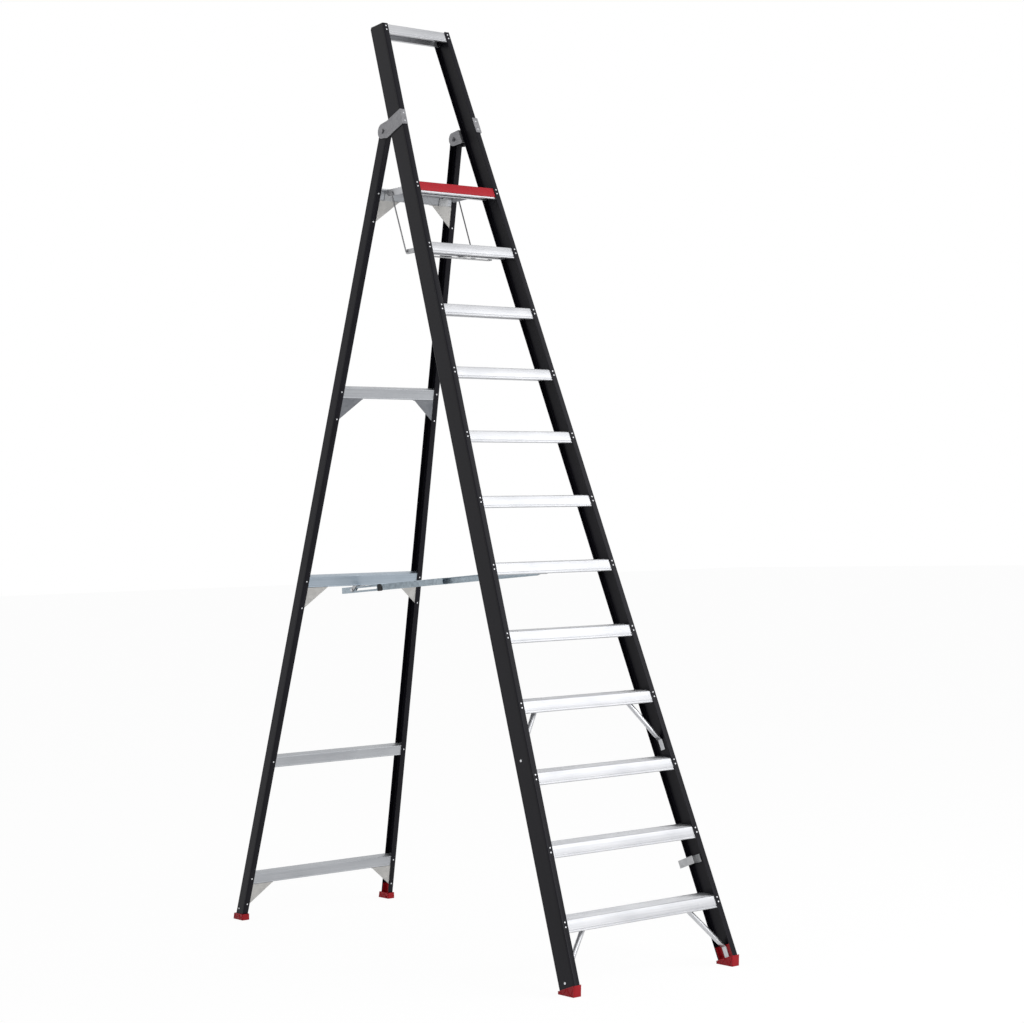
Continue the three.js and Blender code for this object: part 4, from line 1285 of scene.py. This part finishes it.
@dataclass
class Braces(Part):
    """Tubes with both ends pressed flat, from under a tread to the web of the stile."""

    radius: float = 9.0
    flat: float = 1.5
    flat_width: float = 11.0
    depth: float = 47.0
    tread_front: float = 2.9
    tread_rise: float = 14.5
    tread_sheet: float = 2.13
    play: float = 0.4
    web: float = 2.9
    plate_above: float = 20.0
    plate_below: float = 15.0
    pad_reach: float = 14.0
    pad_bend: float = 6.0
    kinds: tuple[Brace, ...] = (
        Brace("upper", 4, 133.0, 179.0, 0.0),
        Brace("lower", 1, 160.0, 181.0, 3.3),
    )

    def build_one(self, kind: Brace, side: Side) -> Rings:
        """One brace: an oval carried along a path with two bends, flat at both ends.

        The section at share t has half width a(t) along d and half thickness b(t) across the
        path, with b growing from the flat value to the radius away from the ends.

        Args:
            kind: upper or lower braces.
            side: left or right.

        Returns:
            Vertices and faces.
        """
        front = self.layout.front()
        slope_up = math.tan(self.layout.front_lean)
        s0 = self.layout.tread(kind.tread)
        top = s0 + self.tread_rise + (self.depth - self.tread_front) * slope_up
        under = top - self.tread_sheet - self.play

        def wall(s: float) -> float:
            """Distance from the middle of a plate's middle at height s."""
            return float(front.half(s)) - self.web - kind.liner - self.flat

        pad = float(front.half(s0)) - kind.inset
        foot, bend = s0 - kind.bolt - self.plate_below, s0 - kind.bolt + self.plate_above
        corners = np.array(
            [
                (pad - self.pad_reach, under - self.flat),
                (pad + self.pad_bend, under - self.flat),
                (wall(bend), bend),
                (wall(foot), foot),
            ]
        )
        lengths = np.linalg.norm(np.diff(corners, axis=0), axis=1)
        share = np.concatenate(
            [
                np.linspace(0, 0.8, 3) * lengths[0],
                lengths[0] + np.linspace(-2, 34, 10),
                lengths[0] + np.linspace(0.4, 0.75, 4) * lengths[1],
                lengths[0] + lengths[1] + np.linspace(-26, 2, 9),
                lengths[0] + lengths[1] + np.linspace(0.3, 1, 3) * lengths[2],
            ]
        )
        stops = np.concatenate([[0], np.cumsum(lengths)])
        path = np.stack([np.interp(share, stops, corners[:, k]) for k in (0, 1)], -1)
        slope = np.gradient(path, axis=0)
        slope /= np.linalg.norm(slope, axis=1, keepdims=True)
        normal = np.stack([-slope[:, 1], slope[:, 0]], -1)
        ends = np.minimum(share - lengths[0], lengths[0] + lengths[1] - share)
        open_ = np.clip((ends - 2.0) / 26.0, 0, 1)
        open_ = open_ * open_ * (3 - 2 * open_)
        thick = self.flat + (self.radius - self.flat) * open_
        wide = self.flat_width + (self.radius - self.flat_width) * open_
        t = np.linspace(0, 2 * math.pi, 24, endpoint=False)
        power = (0.35 + 0.65 * open_)[:, None]
        cos = np.sign(np.cos(t)) * np.abs(np.cos(t)) ** power
        sin = np.sign(np.sin(t)) * np.abs(np.sin(t)) ** power
        d = self.depth + wide[:, None] * cos
        across = thick[:, None] * sin
        tilt = np.clip((lengths[0] + 10 - share) / 10, 0, 1)[:, None]
        x = path[:, :1] + normal[:, :1] * across
        s = path[:, 1:] + normal[:, 1:] * across
        s = s + tilt * (d - self.depth) * slope_up
        return loft(front.world(side.value * x, d, s))

    def build(self) -> None:
        """Builds the four braces."""
        for kind in self.kinds:
            for side in Side:
                make_piece(
                    f"strut_{kind.name}_{side.word}", self.build_one(kind, side),
                    self.finishes.tube, Body.FRONT,
                    [f"brace_{kind.name}_{side.word}"], Modifiers(angle=50.0),
                )


@dataclass
class Feet(Part):
    """Ribs round and across the sides of the red feet."""

    proud: float = 1.5
    rib: float = 2.8
    bays: int = 4
    outer: float = 3.5
    sole: float = 40.7
    front_toe: float = 14.0
    front_heel: float = 95.0
    front_upper: tuple[float, float] = (-2.5, 86.5)
    front_width: float = 25.5
    rear_height: float = 24.0
    rear_toe: float = -12.0
    rear_heel: float = 61.0
    rear_heel_top: float = 55.0
    rear_width: float = 26.0

    def truss(self, corners: Array) -> list[Array]:
        """Strips round a four-sided face, and a zigzag between its upper and lower edge.

        Points of the zigzag lie at equal shares along the two edges, by turns on one and the
        other. Each strip is a rectangle half a rib's width to both sides of its line.

        Args:
            corners: upper front, lower front, lower rear and upper rear corner.

        Returns:
            One array of four corners for each strip.
        """
        middle = corners.mean(axis=0)
        away = corners - middle
        inset = middle + away * (1 - self.rib / 2 / np.abs(away).min(axis=1, keepdims=True).max())
        upper_front, lower_front, lower_rear, upper_rear = inset
        share = np.linspace(0, 1, self.bays + 1)[:, None]
        upper = upper_front * (1 - share) + upper_rear * share
        lower = lower_front * (1 - share) + lower_rear * share
        zigzag = np.where(np.arange(self.bays + 1)[:, None] % 2 == 0, upper, lower)
        start = np.concatenate([inset, zigzag[:-1]])
        end = np.concatenate([np.roll(inset, -1, axis=0), zigzag[1:]])
        along = (end - start) / np.linalg.norm(end - start, axis=1, keepdims=True)
        side = np.stack([-along[:, 1], along[:, 0]], -1) * self.rib / 2
        start, end = start - along * self.rib / 2, end + along * self.rib / 2
        return list(np.stack([start - side, end - side, end + side, start + side], axis=1))

    def dress(self, end: str, corners: Array, widths: tuple[float, float], body: Body) -> None:
        """Dresses one pair of feet in a darker red, painted shade for the recesses, and adds their
        ribs.

        Args:
            end: front or rear.
            corners: side outline of the foot as rows of world (y, z).
            widths: inner and outer face of the foot, as distances from the middle.
            body: the body they ride on.
        """
        for side in Side:
            parts = []
            for face, out in zip(widths, (-1, 1)):
                x = side.value * np.array([face - 0.1 * out, face + self.proud * out])[:, None]
                for strip in self.truss(corners):
                    ring = np.broadcast_arrays(x, strip[None, :, 0], strip[None, :, 1])
                    parts.append(loft(np.stack(ring, -1)))
            node = f"{end}_foot_{side.word}"
            # The foot itself gets the darker red: painted shade in the recesses between the proud ribs
            dress_node(node, self.finishes.red_painted_recess_shade, 0.0008)
            make_piece(
                f"{end}_foot_ribs_{side.word}", gather(parts), self.finishes.red, body,
                finish=Modifiers(0.0004),
            )

    def build(self) -> None:
        """Dresses the four feet."""
        front, rear = self.layout.front(), self.layout.rear()
        sin, cos = math.sin(self.layout.front_lean), math.cos(self.layout.front_lean)
        toe, heel = self.front_toe, self.front_heel
        (upper_toe, upper_heel), sole = self.front_upper, self.sole
        local = np.array(
            [(upper_toe, sole), (toe * cos, toe * sin), (heel * cos, heel * sin), (upper_heel, sole)]
        )
        width = float(front.half(self.sole))
        self.dress(
            "front", front.world(0.0, local[:, 0], local[:, 1])[:, 1:],
            (width - self.front_width, width + self.outer), Body.FRONT,
        )
        high = self.rear_height
        toe, heel = self.rear_toe, self.rear_heel
        outline = np.array([(toe, high), (toe, 0.0), (heel, 0.0), (self.rear_heel_top, high)])
        width = float(rear.half(high))
        self.dress(
            "rear", outline + [rear.foot, 0.0],
            (width - self.rear_width, width + self.outer), Body.REAR,
        )


@dataclass
class Fasteners(Part):
    """Rivets on the flanges and bolts on the webs; the hinges of the frame are dressed here too.

    Rows of rivets are heights from a tread's centre line, from the stile's top or from the hinge.
    """

    radius: float = 3.4
    rise: float = 1.9
    inset: float = 12.2
    tread_rows: tuple[float, ...] = (-8.0, 8.0)
    rail_rows: tuple[float, ...] = (11.8, 27.8)
    plate_rows: tuple[float, ...] = (6.0, -26.0)
    plate_face: float = -3.3
    back_inset: float = 10.0
    back_face: float = 84.0
    back_rows: tuple[float, ...] = (14.0, 32.0)
    back_rail: float = 8.0
    ear_inset: float = 11.0
    ear_face: float = 86.8
    ear_rows: tuple[float, ...] = (4.0, -24.0)
    brace_bolts: tuple[tuple[float, int, float], ...] = ((47.0, 4, 179.0), (46.7, 1, 181.0))
    gusset_drop: float = 107.0
    foot_bolt: tuple[float, float] = (34.0, 36.0)
    brace_bolt_scale: float = 1.5
    rivet_sides: int = 12
    bolt_sides: int = 14

    def dome(self, scale: float) -> Array:
        """Profile of a rivet's head: a quarter of an ellipse, (rise sin t, radius cos t).

        Args:
            scale: size against a rivet's.

        Returns:
            Rows of (height, radius).
        """
        t = np.linspace(0, math.pi / 2 * 0.96, 6)
        curve = np.stack([self.rise * np.sin(t), self.radius * np.cos(t)], -1) * scale
        return np.concatenate([[(-0.5, self.radius * scale)], curve])

    def heads(
        self, incline: Incline, rows: Sequence[Sequence[float]], way: float, scale: float = 1.0
    ) -> Rings:
        """Rivet or bolt heads on both sides of a frame.

        Args:
            incline: the frame.
            rows: (inset from the web, d, s) of each head.
            way: -1 or 1 for rivets on a flange that face forwards or back, 0 for bolts on a web.
            scale: size against a rivet's.

        Returns:
            Vertices and faces.
        """
        data = np.asarray(rows, float)
        centres, axes = [], []
        for side in Side:
            x = side.value * (incline.half(data[:, 2]) - data[:, 0])
            centres.append(incline.world(x, data[:, 1], data[:, 2]))
            axis = incline.direction(0, way, 0) if way else [float(side.value), 0.0, 0.0]
            axes.append(np.tile(axis, (len(data), 1)))
        sides = self.rivet_sides if way else self.bolt_sides
        return lathe(self.dome(scale), np.concatenate(centres), np.concatenate(axes), sides)

    def build(self) -> None:
        """Builds the rivets of both frames and dresses the hinge bolts."""
        lay = self.layout
        front, rear = lay.front(), lay.rear()
        heights = [lay.tread(n) for n in range(1, lay.treads + 2)]
        rows = [(self.inset, 0.0, s + k) for s in heights for k in self.tread_rows]
        rows += [(self.inset, 0.0, lay.top - k) for k in self.rail_rows]
        rows += [(self.inset - 2, self.plate_face, lay.hinge + k) for k in self.plate_rows]
        shape = self.heads(front, rows, -1.0)
        inset, face = self.back_inset, self.back_face
        back = [(inset, face, s + k) for s in heights for k in self.back_rows]
        back += [(inset, face, lay.top - self.back_rail)]
        back += [(self.ear_inset, self.ear_face, lay.hinge + k) for k in self.ear_rows]
        shape = gather([shape, self.heads(front, back, 1.0)])
        bolts = [(0.0, d, lay.tread(number) - drop) for d, number, drop in self.brace_bolts]
        shape = gather([shape, self.heads(front, bolts, 0.0, self.brace_bolt_scale)])
        make_piece("rivets_front", shape, self.finishes.steel, Body.FRONT)
        rows = [(self.inset, 0.0, lay.bar(i)) for i in range(len(lay.bars))]
        drop = self.gusset_drop
        rows += [(self.inset, 0.0, lay.bar(i) - drop) for i, b in enumerate(lay.bars) if b[2]]
        shape = self.heads(rear, rows, -1.0)
        shape = gather([shape, self.heads(rear, [(0.0, *self.foot_bolt)], 0.0)])
        make_piece("rivets_rear", shape, self.finishes.steel, Body.REAR)
        for side in Side:
            dress_node(f"hinge_bolt_{side.word}", self.finishes.hinge, 0.0008)
            dress_node(f"hinge_plate_{side.word}", self.finishes.hinge, 0.0006)
            dress_node(f"hinge_ear_{side.word}", self.finishes.hinge)


@dataclass
class Linkage:
    """Deck, its seats, the lift rods, the release lever and the stay."""

    finishes: Finishes
    galvanised: tuple[str, ...] = (
        "deck_seat_left", "deck_seat_right", "release_lever", "stay_front_clevis",
        "stay_rear_clevis",
    )
    stay: tuple[str, ...] = ("stay_front_link", "stay_rear_link")
    rods: tuple[str, ...] = ("lift_rod_left", "lift_rod_right")
    steel: tuple[str, ...] = ("deck_hinge_pin", "lever_pin", "stay_pin_front", "stay_pin_rear")
    clip_faces: tuple[float, float] = (-15.2, -13.15)
    clip_ends: tuple[float, float] = (176.0, 208.0)
    clip_chamfer: tuple[float, float] = (198.0, 2.0)
    clip_heights: tuple[float, float] = (-14.5, 13.4)
    clip_corner: float = 3.0

    def clip(self) -> Rings:
        """The dark clip on the rear half of the stay, just ahead of its slot.

        Its outline is drawn along the line from the rear pivot to the front one, and upwards.

        Returns:
            Vertices and faces.
        """
        rear, front = joint_place("stay_rear_turn"), joint_place("stay_front_turn")
        along = (front - rear) / np.linalg.norm(front - rear)
        up = np.array([-along[1], along[0]])
        up *= np.sign(up[1])
        (near, far), (low, high) = self.clip_ends, self.clip_heights
        start, level = self.clip_chamfer
        corners = [(near, low), (far, low), (far, level), (start, high), (near, high)]
        outline = fillet(corners, [self.clip_corner] * len(corners))
        x = np.array(self.clip_faces)[:, None]
        yz = rear + outline[:, :1] * along + outline[:, 1:] * up
        return loft(np.stack(np.broadcast_arrays(x, yz[None, :, 0], yz[None, :, 1]), -1))

    def build(self) -> None:
        """Dresses the linkage and adds the clip."""
        dress_node("platform_deck", self.finishes.tread)
        for name in self.galvanised:
            dress_node(name, self.finishes.galvanised)
        for name in self.stay:
            dress_node(name, self.finishes.stay)
        dress_node("storage_catch", self.finishes.galvanised)
        for name in self.rods:
            dress_node(name, self.finishes.rod, 0.0)
        for name in self.steel:
            dress_node(name, self.finishes.steel, 0.0)
        make_piece(
            "stay_clip", self.clip(), self.finishes.clip, Body.STAY_REAR,
            finish=Modifiers(0.0006),
        )


@dataclass
class Studio:
    """Camera, floor, world and lamps."""

    layout: Layout
    place: tuple[float, float, float] = (-4910.5, -5464.2, 1500.2)
    yaw: float = 38.341
    pitch: float = 0.681
    roll: float = -1.447
    lens: float = 76.79
    key: float = 150.0
    sheen: float = 68.0
    fill: float = 14.0
    world: float = 0.34
    floor_glow: float = 1.09
    floor_share: float = 0.86
    floor_reach: float = 60.0

    def camera(self) -> None:
        """Stands the camera and turns it by yaw, pitch and roll."""
        data = bpy.data.cameras.new("camera")
        data.lens = self.lens
        data.sensor_width = 36.0
        data.clip_end = 200.0
        camera = bpy.data.objects.new("camera", data)
        bpy.context.scene.collection.objects.link(camera)
        yaw, pitch, roll = (math.radians(a) for a in (self.yaw, self.pitch, self.roll))
        look = Vector(
            (math.sin(yaw) * math.cos(pitch), math.cos(yaw) * math.cos(pitch), math.sin(pitch))
        )
        side = look.cross(Vector((0, 0, 1))).normalized()
        up = side.cross(look)
        right = side * math.cos(roll) + up * math.sin(roll)
        top = up * math.cos(roll) - side * math.sin(roll)
        turn = Matrix((right, top, -look)).transposed().to_4x4()
        shift = Vector((0, self.layout.front().foot, 0))
        camera.matrix_world = Matrix.Translation((Vector(self.place) + shift) * MM) @ turn
        bpy.context.scene.camera = camera

    def lamp(
        self, name: str, spot: Sequence[float], aim: Sequence[float], size: float, power: float
    ) -> None:
        """Adds a square soft lamp.

        Args:
            name: the lamp's name.
            spot: where it stands, in metres.
            aim: the point that it faces, in metres.
            size: its side in metres.
            power: its power in watts.
        """
        data = bpy.data.lights.new(name, "AREA")
        data.shape = "SQUARE"
        data.size = size
        data.energy = power
        lamp = bpy.data.objects.new(name, data)
        bpy.context.scene.collection.objects.link(lamp)
        lamp.location = spot
        lamp.rotation_euler = (Vector(aim) - Vector(spot)).to_track_quat("-Z", "Y").to_euler()

    def backdrop(self) -> None:
        """Makes the pale floor, which keeps the ladder's shadow, and the white world."""
        graph = Graph("floor")
        seen = graph.seen()
        glow = graph.node(
            "ShaderNodeEmission", {}, {"Color": (1, 1, 1, 1), "Strength": self.floor_glow}
        )
        graph.surface(Base_Color=(0.82, 0.82, 0.82), Roughness=0.9, Specular_IOR_Level=0.0)
        blend = graph.node(
            "ShaderNodeMixShader",
            {},
            {0: seen * self.floor_share, 1: graph.shader.outputs["BSDF"], 2: glow.outputs["Emission"]},
        )
        graph.feed(graph.output.inputs["Surface"], blend.outputs["Shader"])
        mesh = bpy.data.meshes.new("floor")
        reach = self.floor_reach
        mesh.from_pydata(
            [(-reach, -reach, 0), (reach, -reach, 0), (reach, reach, 0), (-reach, reach, 0)],
            [],
            [(0, 1, 2, 3)],
        )
        mesh.materials.append(graph.material)
        floor = bpy.data.objects.new("floor", mesh)
        bpy.context.scene.collection.objects.link(floor)
        world = bpy.data.worlds.new("studio")
        world.use_nodes = True
        sky = Graph.of_tree(world.node_tree)
        seen = sky.seen()
        ground = sky.node(
            "ShaderNodeBackground",
            {},
            {"Color": (1, 1, 1, 1), "Strength": self.world + seen * (1.0 - self.world)},
        )
        sky.node("ShaderNodeOutputWorld", {}, {"Surface": ground.outputs["Background"]})
        bpy.context.scene.world = world

    def build(self) -> None:
        """Builds the studio."""
        self.camera()
        self.backdrop()
        self.lamp("key", (1.0, -7.0, 2.6), (0, 0, 1.7), 3.5, self.key)
        self.lamp("sheen", (4.4, -5.0, 5.0), (0, -0.3, 1.8), 3.6, self.sheen)
        self.lamp("fill", (-6.0, -1.0, 3.5), (0, 0, 1.6), 4.0, self.fill)
        bpy.context.scene.view_settings.view_transform = "Standard"


def main() -> None:
    """Builds the ladder and its studio."""
    layout = Layout()
    finishes = Finishes(layout.front_lean, -layout.rear_lean)
    Stiles(layout, finishes).build()
    Treads(layout, finishes).build()
    RearBars(layout, finishes).build()
    Braces(layout, finishes).build()
    Feet(layout, finishes).build()
    Fasteners(layout, finishes).build()
    Linkage(finishes).build()
    Studio(layout).build()


if __name__ == "__main__":
    main()
